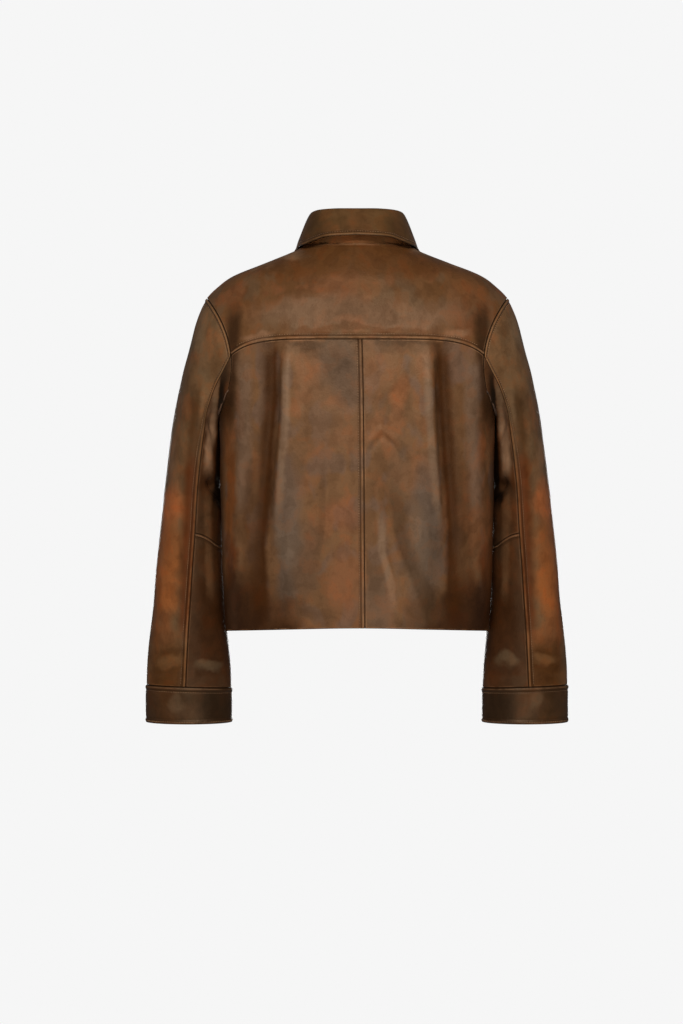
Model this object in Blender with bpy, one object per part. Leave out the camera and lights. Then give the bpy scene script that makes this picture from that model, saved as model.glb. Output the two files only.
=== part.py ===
"""Short leather jacket in its worn shape with nobody inside: cut pieces as thin walls round one hollow.

Frame: the origin is the middle of the neck base, between the two side-neck points. +Z is up, +Y is the
wearer's front and +X the wearer's right. The tables and sizes are in millimetres; MM turns them into metres.
"""

import math
from collections import namedtuple

import bmesh
import bpy
from mathutils import Vector

MM = 0.001

SIDES = (("left", -1), ("right", 1))

# Thickness of the leather, and of the pieces that are made double.
WALL = 1.8
DOUBLE_WALL = 2.8
# Two pieces meet 0.3 mm apart: each edge is drawn back by half of that, and its inner side a little more.
SEAM_SETBACK = 0.16
INNER_SETBACK = 2.0
# The way into a piece at its border is taken over this share of its first column or row.
BORDER_SHARE = 0.2
# Points nearer to each other than this are one point.
WELD = 0.01
# Edges sharper than this stay sharp, in degrees.
SHARP_ANGLE = 50

# Levels of the trunk's rows, from the neck seam to the hem: the height of each at the side, at the centre
# back and at the centre front. Between two levels the rows are numbered in fractions of a step.
Level = namedtuple("Level", "side back_middle front_middle")
LEVELS = (
    Level(0.0, 4.0, -75.0),  # neck seam
    Level(-70.0, -60.0, -125.0),  # shoulder point
    Level(-157.5, -136.0, -185.0),  # yoke seam, at the middle of the armhole
    Level(-245.0, -243.0, -262.0),  # underarm
    Level(-553.0, -544.5, -553.0),  # hem
)
NECK, SHOULDER, YOKE, UNDERARM, HEM = range(5)
SHOULDER_ROWS = 4
ARMHOLE_ROWS = 12
BACK_SIDE_ROWS = 7
FRONT_SIDE_ROWS = 6
# A row of the back runs level from the middle and then turns to its height at the side; the higher the power,
# the later it turns. It is highest at the yoke seam and falls to the lower one this many steps away.
POWER_AT_YOKE = 10.0
POWER_ELSEWHERE = 2.0
POWER_REACH = 1.5

# Armhole, seen from behind: an arc between the shoulder point and the underarm, scooped towards the body.
ARMHOLE_MIDDLE_X = 208.75
ARMHOLE_LEAN = 8.75
ARMHOLE_SCOOP = 29.0
ARMHOLE_TOP = LEVELS[SHOULDER].side
ARMHOLE_FOOT = LEVELS[UNDERARM].side
ARMHOLE_MIDDLE_Z = (ARMHOLE_TOP + ARMHOLE_FOOT) / 2
ARMHOLE_HALF_HEIGHT = (ARMHOLE_TOP - ARMHOLE_FOOT) / 2

# Centre-back seam: it starts a little to the wearer's right of the middle and drifts further right.
BACK_SEAM_TOP = 6.2
BACK_SEAM_HEM = 10.4

# Fronts: the left one laps over the right one and both pass the middle by this much.
FRONT_LAP = 15.0
LAP_CLEARANCE = 0.5
LAP_RAMP_START = 48.0
LAP_RAMP_END = 22.0
LAP_WIDEST_TURN = 1.2
# The front neckline stays low near the middle and then climbs to the side-neck point.
NECKLINE_POWER = 1.4

# Horizontal sections of the trunk: superellipses, narrower at the neck and squarer at the chest.
Section = namedtuple("Section", "height half_width back_depth front_depth squareness")
TRUNK = (
    Section(12, 62, 60, 55, 2.1),
    Section(0, 85, 68, 60, 2.1),
    Section(-22, 138.5, 80, 67, 2.2),
    Section(-39, 180.5, 88, 76, 2.2),
    Section(-57, 205, 95, 82, 2.2),
    Section(-70, 217.5, 100, 87, 2.2),
    Section(-85, 227, 104, 93, 2.25),
    Section(-105, 234, 108, 100, 2.3),
    Section(-140, 236, 113, 111, 2.35),
    Section(-175, 229, 116, 119, 2.4),
    Section(-205, 216, 118, 124, 2.45),
    Section(-228, 204, 119, 126, 2.5),
    Section(-245, 199.8, 120, 127, 2.5),
    Section(-260, 199.0, 120, 127, 2.5),
    Section(-280, 198.7, 120, 127, 2.5),
    Section(-310, 198.3, 119.5, 126, 2.5),
    Section(-370, 197.5, 117, 123, 2.5),
    Section(-457, 195.5, 113, 119, 2.45),
    Section(-554, 190.5, 109, 114, 2.4),
)

# Folds of the trunk: soft ridges (lift above 0) and troughs (lift below 0) that run down from top to bottom.
# Their places are distances from the middle line, the same on both sides.
Fold = namedtuple("Fold", "top bottom place_top place_bottom half_width lift")
BACK_FOLDS = (
    Fold(-150, -500, 98, 94, 13, 5.0),
    Fold(-160, -480, 119, 133, 12, -6.5),
    Fold(-220, -500, 160, 168, 17, 3.0),
    Fold(-420, -560, 62, 84, 26, 2.5),
    Fold(-470, -560, 120, 116, 15, -2.5),
)
FRONT_FOLDS = (
    Fold(-190, -520, 96, 90, 15, 4.0),
    Fold(-200, -500, 122, 130, 13, -5.0),
    Fold(-380, -560, 58, 66, 18, -2.5),
)
# They start and end softly over twice this length, and fade out this close to the side.
FOLD_FADE = 45.0
FOLD_SIDE_CALM = 40.0

# Sleeve rings from the armhole to the cuff. Each ring joins an outer and an inner edge point, bulges forward
# and back by its half depth, and leans towards the body by its scoop. back_seam is the back seam's place from
# the inner edge (0) to the outer edge (1); trunk_share says how much the ring still follows the armhole.
Ring = namedtuple("Ring", "outer_x outer_z inner_x inner_z scoop half_depth middle_y back_seam trunk_share")
SLEEVE = (
    Ring(217.5, -70, 200, -245, 29, 74, 0, 0.495, 1.0),
    Ring(226, -88, 200.4, -249, 20, 75, 3, 0.42, 0.55),
    Ring(234, -109, 200.4, -254, 11, 76, 8, 0.362, 0.2),
    Ring(244, -144, 200.2, -261, 4, 78, 14, 0.318, 0.0),
    Ring(253.5, -178, 200.0, -268, 0, 79, 19, 0.29, 0.0),
    Ring(261, -213, 199.5, -277, 0, 79, 24, 0.3, 0.0),
    Ring(267.5, -248, 198.7, -290, 0, 79, 29, 0.324, 0.0),
    Ring(273.5, -283, 197.8, -306, 0, 78, 33, 0.346, 0.0),
    Ring(278, -316, 197.2, -322, 0, 77, 36, 0.366, 0.0),
    Ring(280.5, -337, 197.0, -338, 0, 76, 37, 0.377, 0.0),
    Ring(282.5, -354, 196.7, -353, 0, 75, 38, 0.386, 0.0),
    Ring(284, -372, 196.4, -371, 0, 74, 38, 0.394, 0.0),
    Ring(287.5, -405, 195.6, -405, 0, 71, 38, 0.406, 0.0),
    Ring(293, -457, 194.1, -457, 0, 65, 38, 0.433, 0.0),
    Ring(297.5, -509, 191.9, -509, 0, 57, 38, 0.463, 0.0),
    Ring(302, -550, 189.8, -550, 0, 51, 37, 0.482, 0.0),
    Ring(305, -579, 187, -579, 0, 46, 36, 0.497, 0.0),
    Ring(306.6, -603, 184.3, -605, 0, 41, 35, 0.513, 0.0),
    Ring(307.6, -632, 183.5, -636, 0, 37, 34, 0.524, 0.0),
)
# Soft creases across the sleeve: the ring and the turn where each is deepest, its reach along and round the
# sleeve (in rings and degrees), and its depth.
Crease = namedtuple("Crease", "ring turn ring_reach turn_reach depth")
SLEEVE_CREASES = (
    Crease(9.3, 138, 0.75, 20, 8.0),
    Crease(8.0, 128, 0.7, 24, -2.5),
    Crease(10.9, 150, 0.8, 26, -2.0),
    Crease(9.6, -60, 0.8, 30, 3.0),
    Crease(17.2, 120, 0.5, 30, 2.0),
    Crease(3.6, 138, 1.7, 17, 9.0),
)
FRONT_SEAM_TURN = math.radians(225)
# The sleeve starts this much further out and lower than the armhole, and loses that over its first rows.
SLEEVE_STEP_OUT = 0.6
SLEEVE_STEP_DOWN = 0.6
SLEEVE_STEP_ROWS = 1 / 3
# Elbow seam of the under sleeve, as ring numbers at the back seam and at the inner edge.
ELBOW_AT_BACK = 12.13
ELBOW_AT_INSIDE = 12.5
UPPER_ARM_ROWS = 10
FOREARM_ROWS = 5
UPPER_SLEEVE_COLUMNS = 15
UNDER_SLEEVE_COLUMNS = 9

# Cuff: a double band, a little wider than the sleeve's end, with a slightly dropped back.
CUFF_DEPTH = 52.5
CUFF_PROUD = 1.1
CUFF_DROP = 1.6
CUFF_COLUMNS = 20
CUFF_ROWS = 3

# Collar stations from the centre back (0 degrees) round the side (90) to the centre front (180).
Station = namedtuple("Station", "turn fold_x fold_y fold_z edge_x edge_y edge_z")
COLLAR = (
    Station(0, 0, -56, 53.0, 0, -84, 14),
    Station(30, 33, -53, 53.0, 45, -79, 11.5),
    Station(60, 58, -33, 52.0, 78, -49, 4),
    Station(90, 65, 4, 48.0, 89, 2, 2.5),
    Station(120, 57.5, 44, 31.0, 99, 52, -15),
    Station(150, 36, 74, -8.0, 88, 83, -58),
    Station(180, 4, 89, -47.0, 62, 104, -105),
)
COLLAR_END = 178.0
FOLD_RISE = 9.0
FOLD_ROLL = 5.0
STAND_TUCK = 0.5
STAND_CLEARANCE = 1.6
COLLAR_COLUMNS = 36
STAND_ROWS = 2
FALL_ROWS = (0, 0.12, 0.28, 0.5, 0.75, 1)

# Front buttons: plain discs turned from half a profile of radius and height, one above the other.
BUTTON_COUNT = 5
BUTTON_TOP = -95.0
BUTTON_STEP = -105.0
BUTTON_RADIUS = 8.5
BUTTON_THICKNESS = 3.2
BUTTON_CLEARANCE = 0.5
BUTTON_SIDES = 20
BUTTON_PROFILE = (
    (0.0, 0.0),
    (0.82, 0.0),
    (1.0, 0.35),
    (0.97, 0.8),
    (0.86, 1.0),
    (0.72, 0.78),
    (0.0, 0.7),
)
# The front's slope under a button is taken this far above and below it.
BUTTON_SLOPE_SPAN = 5.0

# Columns of the trunk pieces, as shares of the way from the middle to the side: closer where folds and the
# round of the side lie.
BACK_COLUMNS = (0.0, 0.16, 0.3, 0.4, 0.46, 0.5, 0.535, 0.57, 0.615, 0.665, 0.73, 0.81, 0.9, 1.0)
FRONT_COLUMNS = (0.0, 0.17, 0.33, 0.47, 0.59, 0.7, 0.79, 0.87, 0.94, 1.0)
YOKE_COLUMNS = (-1.0, -0.9, -0.8, -0.68, -0.55, -0.42, -0.28, -0.14, 0.0,
                0.14, 0.28, 0.42, 0.55, 0.68, 0.8, 0.9, 1.0)

# A point inside each hollow tells a piece's outside from its inside: the line down the middle of a sleeve, and
# for the trunk and the collar a point this far below the piece.
ARM_LINE_X = 245.0
ARM_LINE_Y = 5.0
INSIDE_DROP = 60.0

# Colours (linear) and roughness of the leathers and the buttons.
Finish = namedtuple("Finish", "colour roughness")
BODY_LEATHER = Finish((0.17, 0.085, 0.042), 0.5)
YOKE_LEATHER = Finish((0.16, 0.075, 0.035), 0.5)
UPPER_SLEEVE_LEATHER = Finish((0.15, 0.08, 0.04), 0.48)
UNDER_SLEEVE_LEATHER = Finish((0.12, 0.06, 0.03), 0.5)
FOREARM_LEATHER = Finish((0.07, 0.03, 0.014), 0.5)
CUFF_LEATHER = Finish((0.06, 0.032, 0.018), 0.42)
STAND_LEATHER = Finish((0.07, 0.035, 0.016), 0.5)
FALL_LEATHER = Finish((0.11, 0.055, 0.025), 0.45)
HORN = Finish((0.035, 0.022, 0.015), 0.35)


def clear_scene():
    """Remove whatever the scene holds."""
    for thing in list(bpy.data.objects):
        bpy.data.objects.remove(thing, do_unlink=True)


def ease(share):
    """Smooth step from 0 to 1."""
    share = min(1.0, max(0.0, share))
    return share * share * (3 - 2 * share)


def mix(first, last, share):
    return first + (last - first) * share


def curve_value(places, values, place):
    """Value at a place on a smooth curve through (place, value) pairs; places may rise or fall."""
    if places[0] > places[-1]:
        places = [-one for one in places]
        place = -place
    last = len(places) - 1
    place = min(places[-1], max(places[0], place))
    index = 0
    while index < last - 1 and place > places[index + 1]:
        index += 1

    def slope(at):
        before = max(at - 1, 0)
        after = min(at + 1, last)
        return (values[after] - values[before]) / (places[after] - places[before])

    span = places[index + 1] - places[index]
    share = (place - places[index]) / span
    square = share * share
    cube = square * share
    return (
        (2 * cube - 3 * square + 1) * values[index]
        + (cube - 2 * square + share) * span * slope(index)
        + (3 * square - 2 * cube) * values[index + 1]
        + (cube - square) * span * slope(index + 1)
    )


def trunk_value(column, height):
    return curve_value([row.height for row in TRUNK], [getattr(row, column) for row in TRUNK], height)


def ring_value(column, ring):
    return curve_value(list(range(len(SLEEVE))), [getattr(row, column) for row in SLEEVE], ring)


def station_value(column, turn):
    return curve_value([row.turn for row in COLLAR], [getattr(row, column) for row in COLLAR], turn)


def fold_lift(folds, across, height):
    """Sum of the folds' lifts at a distance from the middle line."""
    lift = 0.0
    for fold in folds:
        share = (fold.top - height) / (fold.top - fold.bottom)
        place = mix(fold.place_top, fold.place_bottom, share)
        shape = math.exp(-(((across - place) / fold.half_width) ** 2))
        fade = ease((fold.top + FOLD_FADE - height) / (2 * FOLD_FADE))
        fade *= ease((height - fold.bottom + FOLD_FADE) / (2 * FOLD_FADE))
        lift += fold.lift * shape * fade
    return lift


def trunk_point(turn, height, lower=0.0):
    """Point of the trunk's outer face. turn is 0 at the centre back, 90 degrees at the side, 180 in front."""
    across = math.sin(turn)
    along = -math.cos(turn)
    behind = along < 0
    half_width = trunk_value("half_width", height)
    depth = trunk_value("back_depth" if behind else "front_depth", height)
    squareness = trunk_value("squareness", height)
    radius = (abs(along / depth) ** squareness + abs(across / half_width) ** squareness) ** (-1 / squareness)
    folds = BACK_FOLDS if behind else FRONT_FOLDS
    side_calm = ease(abs(along) * radius / FOLD_SIDE_CALM)
    radius += fold_lift(folds, abs(across) * radius, height) * side_calm - lower
    return Vector((radius * across, radius * along, height))


def turn_at(across, height, behind):
    """Turn at which the section at this height is so far across, without its folds."""
    half_width = trunk_value("half_width", height)
    depth = trunk_value("back_depth" if behind else "front_depth", height)
    squareness = trunk_value("squareness", height)
    share = min(1.0, abs(across) / half_width)
    along = depth * (1 - share**squareness) ** (1 / squareness)
    turn = math.atan2(abs(across), along)
    return math.copysign(turn if behind else math.pi - turn, across)


def armhole_across(height):
    """How far across the armhole lies at a height."""
    lift = (height - ARMHOLE_MIDDLE_Z) / ARMHOLE_HALF_HEIGHT
    return ARMHOLE_MIDDLE_X + ARMHOLE_LEAN * lift - ARMHOLE_SCOOP * (1 - lift * lift)


def edge_turn(height, behind):
    """Turn of the trunk's outer edge: shoulder seam, then armhole, then side seam."""
    if ARMHOLE_TOP > height > ARMHOLE_FOOT:
        return turn_at(armhole_across(height), height, behind)
    return math.pi / 2


def side_height(step):
    """Height of a row at the side: even steps down the seams, even angles round the armhole."""
    if SHOULDER < step < UNDERARM:
        share = (step - SHOULDER) / (UNDERARM - SHOULDER)
        return ARMHOLE_MIDDLE_Z + ARMHOLE_HALF_HEIGHT * math.cos(math.pi * share)
    upper = min(int(step), HEM - 1)
    return mix(LEVELS[upper].side, LEVELS[upper + 1].side, step - upper)


def middle_height(step, column):
    return curve_value(list(range(len(LEVELS))), [getattr(level, column) for level in LEVELS], step)


def back_point(turn, step):
    """Point of the back at a turn and a row."""
    side = side_height(step)
    side_turn = edge_turn(side, True)
    power = mix(POWER_AT_YOKE, POWER_ELSEWHERE, ease(abs(step - YOKE) / POWER_REACH))
    share = min(1.0, abs(turn) / side_turn)
    height = mix(middle_height(step, "back_middle"), side, share**power)
    return trunk_point(turn, height)


def back_yoke(u, step):
    """Yoke surface: u from -1 (left) to 1 (right)."""
    return back_point(u * edge_turn(side_height(step), True), step)


def back_panel(side):
    """Surface of one back panel: u from the centre-back seam to the side."""

    def surface(u, step):
        seam = side * mix(BACK_SEAM_TOP, BACK_SEAM_HEM, (step - YOKE) / (HEM - YOKE))
        seam_turn = turn_at(seam, middle_height(step, "back_middle"), True)
        return back_point(side * mix(seam_turn, edge_turn(side_height(step), True), u), step)

    return surface


def front_drop(share):
    """Shape of the front neckline: 0 in the middle, 1 at the side-neck point."""
    return 1 - ease((1 - share) ** NECKLINE_POWER)


def front_panel(side):
    """Surface of one front: u from its edge past the middle to the side."""

    def surface(u, step):
        middle = middle_height(step, "front_middle")
        outer = math.pi - edge_turn(side_height(step), False)
        depth = trunk_value("front_depth", middle)
        turn = mix(-math.atan2(FRONT_LAP, depth), outer, u)
        share = min(1.0, abs(turn) / outer)
        height = mix(middle, side_height(step), mix(front_drop(share), ease(share), ease(step)))
        lower = 0.0
        if side > 0:
            across = depth * math.tan(min(turn, LAP_WIDEST_TURN))
            ramp = ease((LAP_RAMP_START - across) / (LAP_RAMP_START - LAP_RAMP_END))
            lower = (WALL + LAP_CLEARANCE) * ramp
        return trunk_point(side * (math.pi - turn), height, lower)

    return surface


def crease_depth(turn, ring):
    """How deep the sleeve's creases sink its surface at a turn and a ring."""
    depth = 0.0
    for crease in SLEEVE_CREASES:
        round_way = math.degrees(turn) - crease.turn
        round_way = (round_way + 180) % 360 - 180
        along = (ring - crease.ring) / crease.ring_reach
        depth += crease.depth * math.exp(-(along**2) - (round_way / crease.turn_reach) ** 2)
    return depth


def sleeve_point(turn, ring, proud=0.0, drop=0.0):
    """Point of a right sleeve. turn is 0 at the outer edge, 90 degrees at the back, 180 at the inner edge."""
    value = {name: ring_value(name, ring) for name in Ring._fields}
    out, back = math.cos(turn), math.sin(turn)
    middle_x = (value["outer_x"] + value["inner_x"]) / 2
    middle_z = (value["outer_z"] + value["inner_z"]) / 2
    reach_x = (value["outer_x"] - value["inner_x"]) / 2 + proud
    reach_z = (value["outer_z"] - value["inner_z"]) / 2
    sunk = crease_depth(turn, ring)
    reach_x -= sunk
    x = middle_x + reach_x * out - value["scoop"] * back * back
    z = middle_z + reach_z * out - drop
    y = value["middle_y"] - (value["half_depth"] + proud - sunk) * back
    share = min(1.0, max(0.0, value["trunk_share"]))
    if share > 0:
        height = ARMHOLE_MIDDLE_Z + ARMHOLE_HALF_HEIGHT * out
        hole = trunk_point(edge_turn(height, back >= 0), height)
        y = mix(y, hole.y, share)
    return Vector((x, y, z))


def back_seam_turn(ring):
    return math.acos(2 * ring_value("back_seam", ring) - 1)


def sleeve_ring(row, elbow):
    """Ring number of a row: rows 0 to 1 end at the elbow seam's ring, rows 1 to 2 at the cuff."""
    if row <= 1:
        return elbow * row
    return mix(elbow, len(SLEEVE) - 1, row - 1)


def sleeve_start(row):
    """Small step away from the trunk where the sleeve starts."""
    return Vector((SLEEVE_STEP_OUT, 0, -SLEEVE_STEP_DOWN)) * (1 - ease(row / SLEEVE_STEP_ROWS))


def upper_sleeve(u, row):
    """Upper sleeve of the right side: u from the back seam over the outer edge to the front seam."""
    ring = sleeve_ring(row, mix(ELBOW_AT_BACK, ELBOW_AT_INSIDE, u))
    turn = mix(back_seam_turn(ring), FRONT_SEAM_TURN - 2 * math.pi, u)
    return sleeve_point(turn, ring) + sleeve_start(row)


def under_sleeve(u, row):
    """Under sleeve of the right side: u from the back seam past the inner edge to the front seam."""
    ring = sleeve_ring(row, mix(ELBOW_AT_BACK, ELBOW_AT_INSIDE, ease(2 * u)))
    turn = mix(back_seam_turn(ring), FRONT_SEAM_TURN, u)
    return sleeve_point(turn, ring) + sleeve_start(row)


def mirrored(surface, side):
    """The same surface for the right (side 1) or the left (side -1)."""

    def placed(u, v):
        point = surface(u, v)
        point.x *= side
        return point

    return placed


def cuff(u, v):
    """Cuff surface: u once round, v from the sleeve's end down to the cuff's edge."""
    turn = 2 * math.pi * u
    last = len(SLEEVE) - 1
    point = sleeve_point(turn, last, CUFF_PROUD, drop=2 * SEAM_SETBACK)
    flat_edge = mix(point.z, (SLEEVE[-1].outer_z + SLEEVE[-1].inner_z) / 2, v)
    point.z = flat_edge - CUFF_DEPTH * v - CUFF_DROP * v * max(0.0, math.sin(turn))
    return point


def neck_point(turn):
    """Point on the neck seam."""
    if abs(turn) <= math.pi / 2:
        return back_point(turn, NECK)
    height = mix(LEVELS[NECK].front_middle, LEVELS[NECK].side, front_drop(2 - abs(turn) / (math.pi / 2)))
    return trunk_point(turn, height)


def collar_station(turn, kind):
    """Point of the collar's fold line or outer edge at a turn in degrees, negative on the left."""
    size = abs(turn)
    x = station_value(kind + "_x", size)
    return Vector((math.copysign(x, turn), station_value(kind + "_y", size), station_value(kind + "_z", size)))


def collar_stand(u, v):
    """Stand surface: u from the left front end round the back to the right one, v from fold to neck seam."""
    turn = mix(-COLLAR_END, COLLAR_END, u)
    top = collar_station(turn, "fold") - Vector((0, 0, STAND_TUCK))
    foot = neck_point(math.radians(turn)) + Vector((0, 0, STAND_CLEARANCE))
    return top.lerp(foot, v)


def collar_fall(u, v):
    """Fall surface: u as in the stand, v from the fold over its roll to the outer edge."""
    turn = mix(-COLLAR_END, COLLAR_END, u)
    fold = collar_station(turn, "fold")
    edge = collar_station(turn, "edge")
    along = collar_station(turn + 1, "fold") - collar_station(turn - 1, "fold")
    away = Vector((along.y, -along.x, 0)).normalized()
    top = fold + away * FOLD_ROLL + Vector((0, 0, FOLD_RISE))
    return fold * (1 - v) ** 2 + top * (2 * v * (1 - v)) + edge * v * v


def surface_material(name, finish):
    """Principled material of one piece."""
    material = bpy.data.materials.new(name)
    material.use_nodes = True
    shader = material.node_tree.nodes["Principled BSDF"]
    shader.inputs["Base Color"].default_value = (*finish.colour, 1.0)
    shader.inputs["Roughness"].default_value = finish.roughness
    shader.inputs["Metallic"].default_value = 0.0
    return material


def make_object(name, bm, finish):
    """Turn a closed bmesh into the named object, with outward faces and its own material."""
    bmesh.ops.recalc_face_normals(bm, faces=bm.faces)
    mesh = bpy.data.meshes.new(name)
    bm.to_mesh(mesh)
    bm.free()
    mesh.shade_smooth()
    mesh.set_sharp_from_angle(angle=math.radians(SHARP_ANGLE))
    mesh.materials.append(surface_material(name, finish))
    thing = bpy.data.objects.new(name, mesh)
    bpy.context.scene.collection.objects.link(thing)
    return thing


def cut_piece(name, surface, columns, rows, wall, finish, closed=False):
    """A sewn piece: a grid laid on its surface at the given columns and rows and thickened to the inside."""
    bm = bmesh.new()
    bmesh.ops.create_grid(bm, x_segments=len(columns) - 1, y_segments=len(rows) - 1, size=0.5)
    inner_step = bm.verts.layers.float_vector.new("inner_step")
    for vertex in bm.verts:
        column = round((vertex.co.x + 0.5) * (len(columns) - 1))
        row = round((vertex.co.y + 0.5) * (len(rows) - 1))
        u, v = columns[column], rows[row]
        point = surface(u, v)
        inward = Vector((0, 0, 0))
        if not closed and column in (0, len(columns) - 1):
            beside = columns[1] if column == 0 else columns[-2]
            inward += (surface(mix(u, beside, BORDER_SHARE), v) - point).normalized()
        if row in (0, len(rows) - 1):
            beside = rows[1] if row == 0 else rows[-2]
            inward += (surface(u, mix(v, beside, BORDER_SHARE)) - point).normalized()
        vertex.co = (point + inward * SEAM_SETBACK) * MM
        vertex[inner_step] = inward * INNER_SETBACK * MM
    if closed:
        bmesh.ops.remove_doubles(bm, verts=bm.verts, dist=WELD * MM)
    bmesh.ops.recalc_face_normals(bm, faces=bm.faces)
    middle = sum((face.calc_center_median() for face in bm.faces), Vector()) / len(bm.faces)
    outwards = 0.0
    for face in bm.faces:
        outwards += face.normal.dot(face.calc_center_median() - inside_of(name, middle))
    if outwards < 0:
        bmesh.ops.reverse_faces(bm, faces=bm.faces)
    bm.normal_update()
    for vertex in bm.verts:
        vertex[inner_step] -= vertex.normal * wall * MM
    extruded = bmesh.ops.extrude_face_region(bm, geom=bm.faces[:])
    for item in extruded["geom"]:
        if isinstance(item, bmesh.types.BMVert):
            item.co += item[inner_step]
    return make_object(name, bm, finish)


def inside_of(name, middle):
    """A point on the hollow side of a piece, which tells its outside from its inside."""
    if "sleeve" in name or "cuff" in name:
        side = 1 if name.endswith("right") else -1
        return Vector((side * ARM_LINE_X * MM, ARM_LINE_Y * MM, middle.z))
    if name == "collar_fall":
        return Vector((0, 0, -INSIDE_DROP * MM))
    return Vector((0, 0, middle.z - INSIDE_DROP * MM))


def even(count, first=0.0, last=1.0):
    return tuple(mix(first, last, index / count) for index in range(count + 1))


def rows_between(*parts):
    """Row numbers of a trunk piece; each part is (first level, last level, rows)."""
    rows = [float(parts[0][0])]
    for first, last, count in parts:
        rows.extend(even(count, first, last)[1:])
    return tuple(rows)


def button(number):
    """One button: a disc with a raised rim round a shallow dish."""
    width = BUTTON_RADIUS * MM
    thickness = BUTTON_THICKNESS * MM
    bm = bmesh.new()
    verts = [bm.verts.new((radius * width, 0, rise * thickness)) for radius, rise in BUTTON_PROFILE]
    edges = [bm.edges.new(pair) for pair in zip(verts, verts[1:])]
    bmesh.ops.spin(
        bm, geom=verts + edges, cent=(0, 0, 0), axis=(0, 0, 1), angle=2 * math.pi, steps=BUTTON_SIDES
    )
    bmesh.ops.remove_doubles(bm, verts=bm.verts, dist=WELD * MM)
    thing = make_object(f"button_{number}", bm, HORN)
    height = BUTTON_TOP + BUTTON_STEP * (number - 1)
    seat = trunk_point(math.pi, height)
    above = trunk_point(math.pi, height + BUTTON_SLOPE_SPAN)
    below = trunk_point(math.pi, height - BUTTON_SLOPE_SPAN)
    slope = above - below
    normal = Vector((0, slope.z, -slope.y)).normalized()
    thing.rotation_euler = normal.to_track_quat("Z", "Y").to_euler()
    thing.location = (seat + normal * BUTTON_CLEARANCE) * MM
    return thing


def build_trunk():
    half_armhole = ARMHOLE_ROWS // 2
    yoke_rows = rows_between((NECK, SHOULDER, SHOULDER_ROWS), (SHOULDER, YOKE, half_armhole))
    back_rows = rows_between((YOKE, UNDERARM, half_armhole), (UNDERARM, HEM, BACK_SIDE_ROWS))
    front_rows = rows_between(
        (NECK, SHOULDER, SHOULDER_ROWS), (SHOULDER, UNDERARM, ARMHOLE_ROWS), (UNDERARM, HEM, FRONT_SIDE_ROWS)
    )
    cut_piece("back_yoke", back_yoke, YOKE_COLUMNS, yoke_rows, WALL, YOKE_LEATHER)
    for label, side in SIDES:
        cut_piece(f"back_panel_{label}", back_panel(side), BACK_COLUMNS, back_rows, WALL, BODY_LEATHER)
        cut_piece(f"front_panel_{label}", front_panel(side), FRONT_COLUMNS, front_rows, WALL, BODY_LEATHER)


def build_collar():
    columns = even(COLLAR_COLUMNS)
    cut_piece("collar_stand", collar_stand, columns, even(STAND_ROWS), WALL, STAND_LEATHER)
    cut_piece("collar_fall", collar_fall, columns, FALL_ROWS, DOUBLE_WALL, FALL_LEATHER)


def build_sleeve(label, side):
    upper_arm = even(UPPER_ARM_ROWS, 0.0, 1.0)
    forearm = even(FOREARM_ROWS, 1.0, 2.0)
    outer_columns = even(UPPER_SLEEVE_COLUMNS)
    inner_columns = even(UNDER_SLEEVE_COLUMNS)
    outer = mirrored(upper_sleeve, side)
    inner = mirrored(under_sleeve, side)
    band = mirrored(cuff, side)
    whole_arm = upper_arm + forearm[1:]
    round_cuff = even(CUFF_COLUMNS)
    cut_piece(f"upper_sleeve_{label}", outer, outer_columns, whole_arm, WALL, UPPER_SLEEVE_LEATHER)
    cut_piece(f"under_sleeve_top_{label}", inner, inner_columns, upper_arm, WALL, UNDER_SLEEVE_LEATHER)
    cut_piece(f"under_sleeve_lower_{label}", inner, inner_columns, forearm, WALL, FOREARM_LEATHER)
    cut_piece(f"cuff_{label}", band, round_cuff, even(CUFF_ROWS), DOUBLE_WALL, CUFF_LEATHER, closed=True)


clear_scene()
build_trunk()
build_collar()
for label, side in SIDES:
    build_sleeve(label, side)
for number in range(1, BUTTON_COUNT + 1):
    button(number)
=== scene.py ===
import math
from bisect import bisect_right
from collections import namedtuple

import bmesh
import bpy
import numpy as np
from mathutils import Matrix, Vector, noise


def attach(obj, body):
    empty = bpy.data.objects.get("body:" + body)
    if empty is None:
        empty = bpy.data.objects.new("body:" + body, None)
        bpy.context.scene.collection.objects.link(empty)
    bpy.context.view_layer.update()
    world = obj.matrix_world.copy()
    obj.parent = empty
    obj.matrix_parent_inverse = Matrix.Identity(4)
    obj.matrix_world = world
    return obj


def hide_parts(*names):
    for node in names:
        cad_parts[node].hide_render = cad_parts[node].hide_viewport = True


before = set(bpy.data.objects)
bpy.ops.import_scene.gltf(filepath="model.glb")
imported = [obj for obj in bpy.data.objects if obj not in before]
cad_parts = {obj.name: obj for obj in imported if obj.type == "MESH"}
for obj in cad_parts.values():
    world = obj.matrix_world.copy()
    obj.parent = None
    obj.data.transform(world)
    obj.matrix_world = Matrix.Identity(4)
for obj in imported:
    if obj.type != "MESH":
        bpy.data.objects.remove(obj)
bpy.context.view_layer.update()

# Studio. The jacket is held up as if worn, so the pale floor lies well under it, in front of an even
# off-white surround. Broad soft lights stand in front and at both sides, with weaker ones behind.

scene = bpy.context.scene
scene.view_settings.view_transform = "Standard"


def tone(red, green, blue):
    """A colour that is given as it looks, in steps of 255, as the linear one that a shader needs."""
    shares = [one / 255 for one in (red, green, blue)]
    return (*[((one + 0.055) / 1.055) ** 2.4 if one > 0.04 else one / 12.92 for one in shares], 1.0)


SURROUND_TONE = tone(246, 246, 246)
SURROUND_LIGHT = 0.14

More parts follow.
